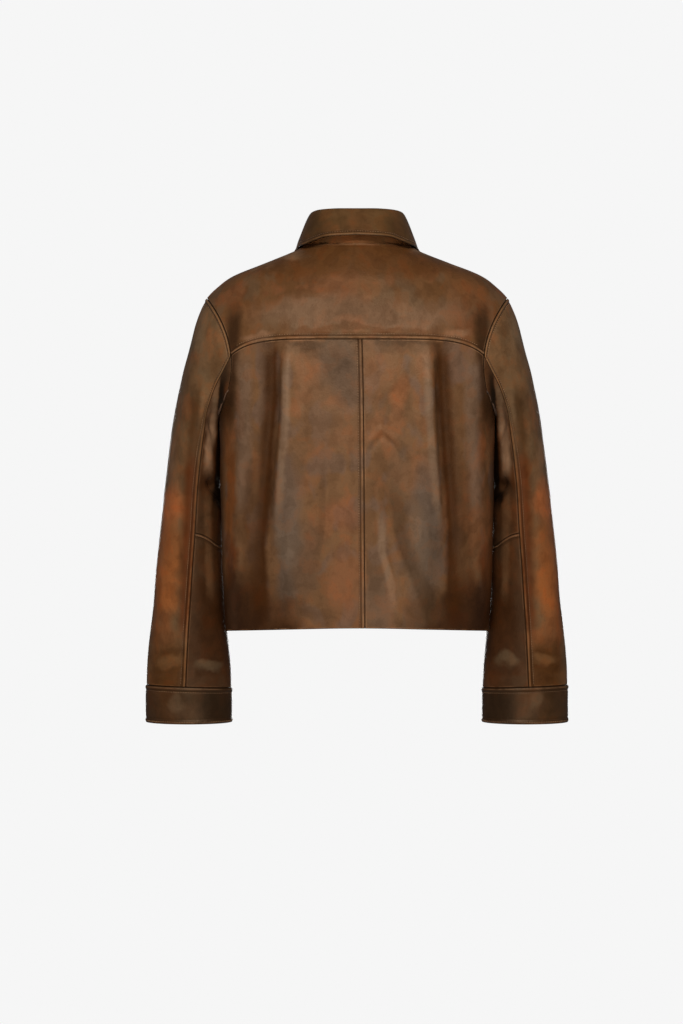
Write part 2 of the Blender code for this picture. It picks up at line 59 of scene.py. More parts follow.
surround = bpy.data.worlds.new("surround")
surround.use_nodes = True
scene.world = surround
surround_tree = surround.node_tree
surround_glow = surround_tree.nodes["Background"]
surround_glow.inputs["Color"].default_value = SURROUND_TONE
ray = surround_tree.nodes.new("ShaderNodeLightPath")
glow_level = surround_tree.nodes.new("ShaderNodeMath")
glow_level.operation = "MULTIPLY_ADD"
surround_tree.links.new(ray.outputs["Is Camera Ray"], glow_level.inputs[0])
glow_level.inputs[1].default_value = 1 - SURROUND_LIGHT
glow_level.inputs[2].default_value = SURROUND_LIGHT
surround_tree.links.new(glow_level.outputs[0], surround_glow.inputs["Strength"])

FLOOR_HEIGHT = -1.35
FLOOR_RADIUS = 0.9
floor_bm = bmesh.new()
bmesh.ops.create_circle(floor_bm, cap_ends=True, segments=96, radius=FLOOR_RADIUS,
                        matrix=Matrix.Translation((0, 0, FLOOR_HEIGHT)))
floor_mesh = bpy.data.meshes.new("floor")
floor_bm.to_mesh(floor_mesh)
floor_bm.free()
floor = bpy.data.objects.new("floor", floor_mesh)
scene.collection.objects.link(floor)
floor_paint = bpy.data.materials.new("floor_paint")
floor_paint.use_nodes = True
floor_shader = floor_paint.node_tree.nodes["Principled BSDF"]
floor_shader.inputs["Base Color"].default_value = tone(238, 238, 237)
floor_shader.inputs["Roughness"].default_value = 0.8
floor_mesh.materials.append(floor_paint)

# The camera is level, behind the jacket and in line with the middle of its height.
CAMERA_PLACE = Vector((-0.02265, -4.0, -0.380))
VIEW_HEIGHT = 1.485
camera_data = bpy.data.cameras.new("camera")
camera_data.sensor_width = 36.0
camera_data.lens = camera_data.sensor_width * -CAMERA_PLACE.y / VIEW_HEIGHT
camera = bpy.data.objects.new("camera", camera_data)
camera.location = CAMERA_PLACE
camera.rotation_euler = (math.pi / 2, 0, 0)
scene.collection.objects.link(camera)
scene.camera = camera

# Each softbox: name, place, the point it faces, width and height, power in watts.
SOFTBOXES = (
    ("soft_key", (0.0, -3.3, 1.35), (0.0, 0.0, -0.35), (1.8, 1.2), 112.0),
    ("soft_low", (0.0, -2.9, -1.5), (0.0, 0.0, -0.50), (2.4, 0.5), 22.0),
    ("soft_left", (-2.6, -0.9, 0.3), (0.0, 0.0, -0.35), (0.8, 2.0), 5.0),
    ("soft_right", (2.6, -0.9, 0.3), (0.0, 0.0, -0.35), (0.8, 2.0), 5.0),
    ("soft_front", (0.0, 3.3, -0.55), (0.0, 0.0, -0.45), (2.4, 0.9), 62.0),
)
for name, place, aim, (width, height), power in SOFTBOXES:
    lamp = bpy.data.lights.new(name, "AREA")
    lamp.shape = "RECTANGLE"
    lamp.size = width
    lamp.size_y = height
    lamp.energy = power
    softbox = bpy.data.objects.new(name, lamp)
    softbox.location = place
    softbox.rotation_euler = (Vector(aim) - Vector(place)).to_track_quat("-Z", "Y").to_euler()
    softbox.visible_camera = False
    scene.collection.objects.link(softbox)

# Back yoke. One piece of hide over both shoulders, from the collar seam to a level seam across the back.
# Its lower edge is turned under, laid on the back panels and stitched 7.4 mm above the fold.

MM = 0.001
WALL = 1.8
SEAM_SETBACK = 0.16

# The trunk's form in millimetres: levels of its rows at the side, the centre back and the centre front.
Level = namedtuple("Level", "side back_middle front_middle")
LEVELS = (
    Level(0.0, 4.0, -75.0),  # neck seam
    Level(-70.0, -60.0, -125.0),  # shoulder point
    Level(-157.5, -136.0, -185.0),  # yoke seam
    Level(-245.0, -243.0, -262.0),  # underarm
    Level(-553.0, -544.5, -553.0),  # hem
)
NECK, SHOULDER, YOKE, UNDERARM, HEM = range(5)
ARMHOLE_MIDDLE_X = 208.75
ARMHOLE_LEAN = 8.75
ARMHOLE_SCOOP = 29.0
ARMHOLE_TOP = LEVELS[SHOULDER].side
ARMHOLE_FOOT = LEVELS[UNDERARM].side
ARMHOLE_MIDDLE_Z = (ARMHOLE_TOP + ARMHOLE_FOOT) / 2
ARMHOLE_HALF_HEIGHT = (ARMHOLE_TOP - ARMHOLE_FOOT) / 2

# Horizontal sections of the trunk, narrower at the neck and squarer at the chest.
Section = namedtuple("Section", "height half_width back_depth front_depth squareness")
TRUNK = (
    Section(-554, 190.5, 109, 114, 2.4),
    Section(-457, 195.5, 113, 119, 2.45),
    Section(-370, 197.5, 117, 123, 2.5),
    Section(-310, 198.3, 119.5, 126, 2.5),
    Section(-280, 198.7, 120, 127, 2.5),
    Section(-260, 199.0, 120, 127, 2.5),
    Section(-245, 199.8, 120, 127, 2.5),
    Section(-228, 204, 119, 126, 2.5),
    Section(-205, 216, 118, 124, 2.45),
    Section(-175, 229, 116, 119, 2.4),
    Section(-140, 236, 113, 111, 2.35),
    Section(-105, 234, 108, 100, 2.3),
    Section(-85, 227, 104, 93, 2.25),
    Section(-70, 217.5, 100, 87, 2.2),
    Section(-57, 205, 95, 82, 2.2),
    Section(-39, 180.5, 88, 76, 2.2),
    Section(-22, 138.5, 80, 67, 2.2),
    Section(0, 85, 68, 60, 2.1),
    Section(12, 62, 60, 55, 2.1),
)

# Deep folds of the trunk, ridges (lift above 0) and troughs, alike on both sides. Each place is a distance
# from the middle line.
Fold = namedtuple("Fold", "top bottom place_top place_bottom half_width lift")
BACK_FOLDS = (
    Fold(-150, -500, 98, 94, 13, 5.0),
    Fold(-160, -480, 119, 133, 12, -6.5),
    Fold(-220, -500, 160, 168, 17, 3.0),
    Fold(-420, -560, 62, 84, 26, 2.5),
    Fold(-470, -560, 120, 116, 15, -2.5),
)
FRONT_FOLDS = (
    Fold(-190, -520, 96, 90, 15, 4.0),
    Fold(-200, -500, 122, 130, 13, -5.0),
    Fold(-380, -560, 58, 66, 18, -2.5),
)
FOLD_FADE = 45.0
SIDE_CALM = 40.0


def ease(share):
    """Smooth step from 0 to 1."""
    share = min(1.0, max(0.0, share))
    return share * share * (3 - 2 * share)


def mix(first, last, share):
    """Number at a share of the way from first to last."""
    return first + (last - first) * share


class Table:
    """Rows of a form's sizes; a size at any place between rows lies on a smooth curve through them."""

    def __init__(self, rows, places):
        self.places = list(places)
        self.columns = {name: [getattr(row, name) for row in rows] for name in rows[0]._fields}

    def value(self, column, place):
        places, values = self.places, self.columns[column]
        last = len(places) - 1
        place = min(places[-1], max(places[0], place))
        index = min(bisect_right(places, place) - 1, last - 1)

        def slope(at):
            before, after = max(at - 1, 0), min(at + 1, last)
            return (values[after] - values[before]) / (places[after] - places[before])

        span = places[index + 1] - places[index]
        share = (place - places[index]) / span
        square, cube = share**2, share**3
        return (
            (2 * cube - 3 * square + 1) * values[index]
            + (cube - 2 * square + share) * span * slope(index)
            + (3 * square - 2 * cube) * values[index + 1]
            + (cube - square) * span * slope(index + 1)
        )


trunk_form = Table(TRUNK, [row.height for row in TRUNK])
level_form = Table(LEVELS, range(len(LEVELS)))


def fold_lift(folds, across, height):
    """Sum of the deep folds' lifts at a distance from the middle line."""
    lift = 0.0
    for fold in folds:
        share = (fold.top - height) / (fold.top - fold.bottom)
        place = mix(fold.place_top, fold.place_bottom, share)
        fade = ease((fold.top + FOLD_FADE - height) / (2 * FOLD_FADE))
        fade *= ease((height - fold.bottom + FOLD_FADE) / (2 * FOLD_FADE))
        lift += fold.lift * math.exp(-(((across - place) / fold.half_width) ** 2)) * fade
    return lift


def trunk_point(turn, height, lower=0.0):
    """Point of the trunk's outer face. turn is 0 at the centre back, 90 degrees at the side."""
    across, along = math.sin(turn), -math.cos(turn)
    behind = along < 0
    half_width = trunk_form.value("half_width", height)
    depth = trunk_form.value("back_depth" if behind else "front_depth", height)
    squareness = trunk_form.value("squareness", height)
    reach = abs(along / depth) ** squareness + abs(across / half_width) ** squareness
    radius = reach ** (-1 / squareness)
    folds = BACK_FOLDS if behind else FRONT_FOLDS
    calm = ease(abs(along) * radius / SIDE_CALM)
    radius += fold_lift(folds, abs(across) * radius, height) * calm - lower
    return (radius * across, radius * along, height)


def turn_at(across, height, behind):
    """Turn at which the section at this height is so far across, without its folds."""
    depth = trunk_form.value("back_depth" if behind else "front_depth", height)
    squareness = trunk_form.value("squareness", height)
    share = min(1.0, abs(across) / trunk_form.value("half_width", height))
    turn = math.atan2(abs(across), depth * (1 - share**squareness) ** (1 / squareness))
    return math.copysign(turn if behind else math.pi - turn, across)


def armhole_turn(height, behind):
    """Turn of the armhole's edge, which is scooped towards the body."""
    lift = (height - ARMHOLE_MIDDLE_Z) / ARMHOLE_HALF_HEIGHT
    across = ARMHOLE_MIDDLE_X + ARMHOLE_LEAN * lift - ARMHOLE_SCOOP * (1 - lift * lift)
    return turn_at(across, height, behind)


def edge_turn(height, behind):
    """Turn of the trunk's outer edge: shoulder seam, then armhole, then side seam."""
    return armhole_turn(height, behind) if ARMHOLE_TOP > height > ARMHOLE_FOOT else math.pi / 2


def side_height(step):
    """Height of a row at the side: even steps down the seams, even angles round the armhole."""
    if SHOULDER < step < UNDERARM:
        share = (step - SHOULDER) / (UNDERARM - SHOULDER)
        return ARMHOLE_MIDDLE_Z + ARMHOLE_HALF_HEIGHT * math.cos(math.pi * share)
    upper = min(int(step), HEM - 1)
    return mix(LEVELS[upper].side, LEVELS[upper + 1].side, step - upper)


YOKE_FLATNESS = 10.0
PLAIN_FLATNESS = 2.0
FLATNESS_REACH = 1.5


def back_point(turn, step):
    """Point of the back at a turn and a row. Rows near the yoke seam stay level almost to the armhole."""
    side = side_height(step)
    flatness = mix(YOKE_FLATNESS, PLAIN_FLATNESS, ease(abs(step - YOKE) / FLATNESS_REACH))
    share = min(1.0, abs(turn) / edge_turn(side, True))
    return trunk_point(turn, mix(level_form.value("back_middle", step), side, share**flatness))


def yoke_surface(u, step):
    """Yoke: u from -1 at the left armhole to 1 at the right one."""
    return back_point(u * edge_turn(side_height(step), True), step)


# Rows and columns of a cut piece lie close together along a seam, for its fold and stitching, and 3 mm
# apart elsewhere.
SEAM_STEPS = (0.0, 0.7, 1.4, 2.4, 3.4, 4.6, 6.0, 6.9, 7.6, 8.5, 10.2, 12.8)
PLAIN_STEP = 3.0


def shares(length, first=0.0, last=1.0, seam_first=True, seam_last=True, step=PLAIN_STEP):
    """Places from first to last along a piece of this length."""
    head = SEAM_STEPS if seam_first else (0.0,)
    tail = SEAM_STEPS if seam_last else (0.0,)
    middle_length = length - head[-1] - tail[-1]
    count = max(1, round(middle_length / step))
    places = list(head[:-1])
    places += [head[-1] + middle_length * index / count for index in range(count + 1)]
    places += [length - one for one in reversed(tail[:-1])]
    return [mix(first, last, one / length) for one in places]


# What a seam does to the leather beside it. A lapped edge is folded under and stitched, so it rolls over
# into the seam, stands proud, and sinks under the thread. A rolled edge is folded and not stitched. A plain
# edge dips under its neighbour. A free edge is cut.
STITCH_INSET = 7.4
Swell = namedtuple("Swell", "lift distance reach")
SEAM_SWELLS = {
    "lapped": (Swell(-0.4, 0.0, 0.9), Swell(0.75, 3.2, 1.6), Swell(-0.5, STITCH_INSET, 1.2)),
    "rolled": (Swell(0.7, 1.6, 1.1), Swell(-0.3, 4.6, 1.4)),
    "plain": (Swell(-0.4, 0.0, 1.3),),
    "free": (),
}


def seam_relief(kind, distance):
    """Lift of the leather at a distance from a seam."""
    lift = np.zeros_like(distance)
    for swell in SEAM_SWELLS[kind]:
        lift += swell.lift * np.exp(-(((distance - swell.distance) / swell.reach) ** 2))
    return lift


# A crease or soft fold: its path over the piece as (across, down) points in millimetres, its half width,
# and its lift, above 0 for a ridge.
Crease = namedtuple("Crease", "path half_width lift")


def crease_lift(across, height, creases):
    """Lift of the creases at each grid point; a crease fades out towards both ends."""
    lift = np.zeros_like(across)
    for crease in creases:
        path = np.array(crease.path, float)
        reach = np.zeros_like(across)
        count = len(path) - 1
        for index in range(count):
            first, last = path[index], path[index + 1]
            along = last - first
            share = ((across - first[0]) * along[0] + (height - first[1]) * along[1]) / (along @ along)
            share = np.clip(share, 0, 1)
            off = np.hypot(across - first[0] - share * along[0], height - first[1] - share * along[1])
            whole = (index + share) / count
            taper = np.sqrt(np.clip(4 * whole * (1 - whole), 0, 1))
            reach = np.maximum(reach, taper * np.exp(-((off / crease.half_width) ** 2)))
        lift += crease.lift * reach
    return lift


# Soft unevenness of hung hide, which keeps its highlights from running dead straight.
WAVE_SIZE = 62.0
WAVE_LIFT = 1.1
RIPPLE_SIZE = 17.0
RIPPLE_LIFT = 0.16
SEAM_CALM = 22.0

# A piece's top edge may carry on as its seam allowance, which steps down and passes under its neighbour.
TUCK_CORNER = 0.2
TUCK_REACH = 3.0
TUCK_UNDER = 2.1

# A piece's cut edges are slightly rounded, and its grid is welded where it closes into a tube.
EDGE_ROUND = 0.45
EDGE_ANGLE = 50.0
WELD_DISTANCE = 0.02


def smooth_step(values):
    """Smooth step from 0 to 1 of each value in an array."""
    values = np.clip(values, 0, 1)
    return values * values * (3 - 2 * values)


def unit(vectors):
    """The same directions, each of length 1."""
    return vectors / np.linalg.norm(vectors, axis=-1, keepdims=True)


class CutPiece:
    """A cut piece of leather: a grid of points on its surface, pressed and creased, and its mesh object."""

    def __init__(self, name, node, surface, columns, rows, seams, hollow, creases=(), wave=1.0,
                 wall=WALL, closed=False, flat_across=None, tuck=None):
        self.name = name
        points = np.array([[surface(u, v) for u in columns] for v in rows])
        self.measure(points)
        for edge, beside in ((0, 1), (-1, -2)):
            if not closed:
                points[:, edge] += unit(points[:, beside] - points[:, edge]) * SEAM_SETBACK
            points[edge] += unit(points[beside] - points[edge]) * SEAM_SETBACK
        normals, outward = self.grid_normals(points, hollow)
        lift = np.zeros(points.shape[:2])
        for border, kind in seams.items():
            lift += seam_relief(kind, self.distance[border])
        stiff = [self.distance[border] for border, kind in seams.items() if kind != "free"]
        edges = [self.distance[border] for border in seams]
        lapped = [self.distance[border] for border, kind in seams.items() if kind == "lapped"]
        self.stitched = np.min(lapped or [np.full(lift.shape, SEAM_CALM)], axis=0)
        self.edge = np.min(edges, axis=0)
        calm = smooth_step(np.min(stiff, axis=0) / SEAM_CALM) if stiff else 1.0
        across = points[..., 0] if flat_across is None else flat_across(points)
        lift += crease_lift(across, points[..., 2], creases)
        waves = np.array([[noise.noise(Vector(point) / WAVE_SIZE) for point in row] for row in points])
        ripples = np.array([[noise.noise(Vector(point) / RIPPLE_SIZE) for point in row] for row in points])
        lift += wave * calm * (WAVE_LIFT * waves + RIPPLE_LIFT * ripples)
        points += normals * lift[..., None]
        self.points = points
        self.normals, _ = self.grid_normals(points, hollow)
        self.object = self.make_object(node, outward, wall, closed, tuck)

    def measure(self, points):
        """Distance of every grid point from each border, along the leather."""
        across = np.zeros(points.shape[:2])
        across[:, 1:] = np.cumsum(np.linalg.norm(np.diff(points, axis=1), axis=2), axis=1)
        down = np.zeros(points.shape[:2])
        down[1:] = np.cumsum(np.linalg.norm(np.diff(points, axis=0), axis=2), axis=0)
        self.distance = {
            "first": across,
            "last": across[:, -1:] - across,
            "top": down,
            "foot": down[-1:] - down,
        }

    def grid_normals(self, points, hollow):
        """Unit normals that face away from the hollow, and whether the grid itself faces that way."""
        normals = unit(np.cross(np.gradient(points, axis=1), np.gradient(points, axis=0)))
        outward = (normals * (points - hollow(points))).sum() > 0
        return (normals if outward else -normals), outward

    def make_object(self, node, outward, wall, closed, tuck):
        """The piece's mesh, with its distances from the seams as attributes, a wall and rounded edges."""
        points, edge, stitched = self.points, self.edge, self.stitched
        if tuck:
            slope = unit(points[0] - points[1])
            corner = points[0] - self.normals[0] * tuck + slope * TUCK_CORNER
            points = np.concatenate(([corner + slope * TUCK_REACH, corner], points))
            edge = np.pad(edge, ((2, 0), (0, 0)))
            stitched = np.pad(stitched, ((2, 0), (0, 0)))
        rows, columns = points.shape[:2]
        bm = bmesh.new()
        bmesh.ops.create_grid(bm, x_segments=columns - 1, y_segments=rows - 1, size=0.5)
        mesh = bpy.data.meshes.new(self.name)
        bm.to_mesh(mesh)
        bm.free()
        flat = np.empty(len(mesh.vertices) * 3)
        mesh.vertices.foreach_get("co", flat)
        flat = flat.reshape(-1, 3) + 0.5
        column = np.rint(flat[:, 0] * (columns - 1)).astype(int)
        row = np.rint(flat[:, 1] * (rows - 1)).astype(int)
        mesh.vertices.foreach_set("co", (points[row, column] * MM).ravel())
        for label, values in (("edge", edge), ("stitched", stitched)):
            layer = mesh.attributes.new(label, "FLOAT", "POINT")
            layer.data.foreach_set("value", np.minimum(values, SEAM_CALM)[row, column])
        if closed:
            bm = bmesh.new()
            bm.from_mesh(mesh)
            bmesh.ops.remove_doubles(bm, verts=bm.verts, dist=WELD_DISTANCE * MM)
            bm.to_mesh(mesh)
            bm.free()
        if not outward:
            mesh.flip_normals()
        mesh.shade_smooth()
        thing = bpy.data.objects.new(self.name, mesh)
        scene.collection.objects.link(thing)
        thickness = thing.modifiers.new("hide", "SOLIDIFY")
        thickness.thickness = wall * MM
        thickness.offset = -1.0
        thickness.material_offset = 1
        thickness.material_offset_rim = 0
        rounding = thing.modifiers.new("edge_round", "BEVEL")
        rounding.width = EDGE_ROUND * MM
        rounding.segments = 2
        rounding.limit_method = "ANGLE"
        rounding.angle_limit = math.radians(EDGE_ANGLE)
        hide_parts(node)
        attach(thing, "root")
        return thing

    def dress(self, finish):
        """The finish on the outer side and the edges, and the flesh side within."""
        self.object.data.materials.append(finish)
        self.object.data.materials.append(flesh_finish)


THREAD_LENGTH = 2.7
THREAD_PITCH = 3.6
THREAD_RADIUS = 0.36
THREAD_FLATNESS = 0.8
THREAD_LIFT = 0.12
THREAD_LEANS = (-0.06, 0.10)


def thread_line(bm, piece, border, inset, first=0.0, last=1.0):
    """Sew stitches along a piece's border, at an inset from it, from one share of its length to another."""
    distance = piece.distance[border]
    points, normals = piece.points, piece.normals
    if border in ("top", "foot"):
        distance, points, normals = distance.T, points.swapaxes(0, 1), normals.swapaxes(0, 1)
    path, ups = [], []
    for row in range(distance.shape[0]):
        order = np.argsort(distance[row])
        near = distance[row][order]
        path.append([np.interp(inset, near, points[row][order][:, axis]) for axis in range(3)])
        ups.append([np.interp(inset, near, normals[row][order][:, axis]) for axis in range(3)])
    path, ups = np.array(path), np.array(ups)
    length = np.concatenate(([0.0], np.cumsum(np.linalg.norm(np.diff(path, axis=0), axis=1))))
    start, stop = first * length[-1], last * length[-1]
    count = int((stop - start - 2 * THREAD_PITCH) / THREAD_PITCH)
    for index in range(count):
        at = start + (index + 1.5) * THREAD_PITCH
        here = Vector([np.interp(at, length, path[:, axis]) for axis in range(3)])
        ahead = Vector([np.interp(at + 1, length, path[:, axis]) for axis in range(3)])
        up = Vector([np.interp(at, length, ups[:, axis]) for axis in range(3)]).normalized()
        along = (ahead - here).normalized()
        beside = up.cross(along).normalized()
        along = (along + beside * THREAD_LEANS[index % 2]).normalized()
        beside = up.cross(along).normalized()
        frame_axes = Matrix((along, beside, up)).transposed().to_4x4()
        size = Matrix.Diagonal((THREAD_LENGTH / 2, THREAD_RADIUS, THREAD_RADIUS * THREAD_FLATNESS, 1))
        place = Matrix.Translation((here + up * THREAD_LIFT) * MM) @ frame_axes @ size
        bmesh.ops.create_uvsphere(bm, u_segments=6, v_segments=3, radius=MM, matrix=place)


def sew(name, lines):
    """One object of a piece's stitches. A line is (piece, border, inset), and may add its first and last
    share of the border."""
    bm = bmesh.new()
    for line in lines:
        thread_line(bm, *line)
    mesh = bpy.data.meshes.new(name)
    bm.to_mesh(mesh)
    bm.free()
    mesh.shade_smooth()
    mesh.materials.append(thread_finish)
    thing = bpy.data.objects.new(name, mesh)
    scene.collection.objects.link(thing)
    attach(thing, "root")
    return thing


class Shade:
    """A socket of a finish's node tree. Expressions on values add Math nodes; node() adds any other."""

    def __init__(self, tree, socket=None):
        self.tree = tree
        self.socket = socket

    def node(self, kind, settings=(), inputs=(), output=0):
        made = self.tree.nodes.new(kind)
        for name, setting in dict(settings).items():
            setattr(made, name, setting)
        for name, value in dict(inputs).items():
            if isinstance(value, Shade):
                self.tree.links.new(value.socket, made.inputs[name])
            else:
                made.inputs[name].default_value = value
        return Shade(self.tree, made.outputs[output])

    def math(self, operation, *values):
        return self.node("ShaderNodeMath", {"operation": operation}, enumerate(values))

    def __add__(self, other):
        return self.math("ADD", self, other)

    def __sub__(self, other):
        return self.math("SUBTRACT", self, other)

    def __rsub__(self, other):
        return self.math("SUBTRACT", other, self)

    def __mul__(self, other):
        return self.math("MULTIPLY", self, other)

    __radd__ = __add__
    __rmul__ = __mul__

    def rise(self, low, high, first=0.0, last=1.0):
        """Smooth step of this value, from first at low to last at high."""
        inputs = {"Value": self, "From Min": low, "From Max": high, "To Min": first, "To Max": last}
        return self.node("ShaderNodeMapRange", {"interpolation_type": "SMOOTHSTEP"}, inputs)

    def ramp(self, low, high, first, last):
        """Straight rise of this value, from first at low to last at high."""
        inputs = {"Value": self, "From Min": low, "From Max": high, "To Min": first, "To Max": last}
        return self.node("ShaderNodeMapRange", (), inputs)

    def band(self, place, reach):
        """1 where this value is at place, falling to 0 at reach on either side."""
        return self.math("ABSOLUTE", self - place).rise(0.0, reach, 1.0, 0.0)

    def blend(self, colour, amount, how="MIX"):
        """This colour mixed with another one."""
        inputs = {0: amount, 6: self, 7: colour}
        return self.node("ShaderNodeMix", {"data_type": "RGBA", "blend_type": how}, inputs, 2)

    def pair(self, first, last):
        """A colour between two, first where this value is 0 and last where it is 1."""
        return self.node("ShaderNodeMix", {"data_type": "RGBA"}, {0: self, 6: first, 7: last}, 2)

    def vector(self, operation, other):
        return self.node("ShaderNodeVectorMath", {"operation": operation}, {0: self, 1: other})

    def length(self):
        return self.node("ShaderNodeVectorMath", {"operation": "LENGTH"}, {0: self}, 1)

    def axis(self, index):
        """One of a vector's three numbers."""
        return self.node("ShaderNodeSeparateXYZ", (), {"Vector": self}, index)


def cloud(place, size, detail=3.0, rough=0.5, output=0):
    """Soft noise whose patches are about so many metres across."""
    inputs = {"Vector": place, "Scale": 1 / size, "Detail": detail, "Roughness": rough}
    return place.node("ShaderNodeTexNoise", (), inputs, output)


def new_finish(name):
    """A finish, its shader, and the place on the jacket that its patterns follow."""
    finish = bpy.data.materials.new(name)
    finish.use_nodes = True
    place = Shade(finish.node_tree).node("ShaderNodeTexCoord", output="Object")
    return finish, finish.node_tree.nodes["Principled BSDF"], place


def connect(shader, colour, roughness, relief=None):
    """Join a finish's colour and relief to its shader, and its roughness, which may be one number."""
    links = shader.id_data.links
    links.new(colour.socket, shader.inputs["Base Color"])
    if isinstance(roughness, Shade):
        links.new(roughness.socket, shader.inputs["Roughness"])
    else:
        shader.inputs["Roughness"].default_value = roughness
    if relief:
        bump = relief.node("ShaderNodeBump", (), {"Strength": 1.0, "Distance": 1.0, "Height": relief})
        links.new(bump.socket, shader.inputs["Normal"])


# A soft patch of colour, for stains and wear marks and for painted shade and painted highlights: where its
# middle lies (across, height) in millimetres, its half sizes, its colour and how strongly it shows.
Patch = namedtuple("Patch", "across height half_across half_height colour strength")

# A long band of colour, mostly painted shade down troughs and gaps and painted highlight down ridges: its
# path down the piece as (across, height) points in millimetres, its reach to the left and to the right, its
# colour and how strongly it shows.
Band = namedtuple("Band", "path left right colour strength")
BAND_FADE = 46.0
BAND_CORE = 0.2


def band_amount(across, height, band):
    """The band's strength on its path, falling to 0 at its reach on either side and towards its ends."""
    centre = band.path[0][0]
    for (here, high), (there, low) in zip(band.path, band.path[1:]):
        centre = height.ramp(high, low, 0.0, there - here) + centre
    off = across - centre
    top, bottom = band.path[0][1], band.path[-1][1]
    ends = height.rise(bottom, bottom + BAND_FADE) * height.rise(top - BAND_FADE, top, band.strength, 0.0)
    rise = off.rise(-band.left, -band.left * BAND_CORE)
    return rise * off.rise(band.right * BAND_CORE, band.right, 1.0, 0.0) * ends


# Colour by colour, what the hide's darker and redder blotches keep of the colour round them.
DEEPER = (0.55, 0.5, 0.44, 1.0)
REDDER = (1.18, 1.0, 0.88, 1.0)

# Sizes of the hide's mottling in metres, from broad shades down to its grain, how far the patches and the
# bands stray from their outlines, and shifts that keep the red and grey shades apart.
BROAD_SHADE = 0.055
RED_SHADE = 0.036
GREY_SHADE = 0.034
BLOTCH = 0.024
MIDDLE_SHADE = 0.019
GRAIN = 0.0028
PORES_PER_METRE = 720.0
DRIFT = 0.075
SMALL_DRIFT = 0.02
PATCH_DRIFT = (0.03, 0.03, 0.045)
PATCH_SMALL_DRIFT = (0.013, 0.013, 0.02)
BAND_DRIFT = (0.006, 0.006, 0.02)
RED_SHIFT = (3.1, 1.7, 0.9)
GREY_SHIFT = (7.3, 2.9, 5.1)

# Relief of the hide in metres.
PORE_RELIEF = 0.00009
GRAIN_RELIEF = 0.00010
CRINKLE = 0.011
CRINKLE_RELIEF = 0.00055
PUCKER = 0.0045
PUCKER_RELIEF = 0.0007
PUCKER_REACH = 14.0

# Lines beside the seams: distance from the seam and reach of each line, in millimetres. The ridge and the
# cut edge are lightened as wear and painted highlight, the stitch line and the groove get painted shade.
RIDGE = (2.5, 1.2)
CUT_EDGE = (1.7, 0.8)
STITCH_LINE = (STITCH_INSET, 1.6)
GROOVE = (5.2, 1.6)


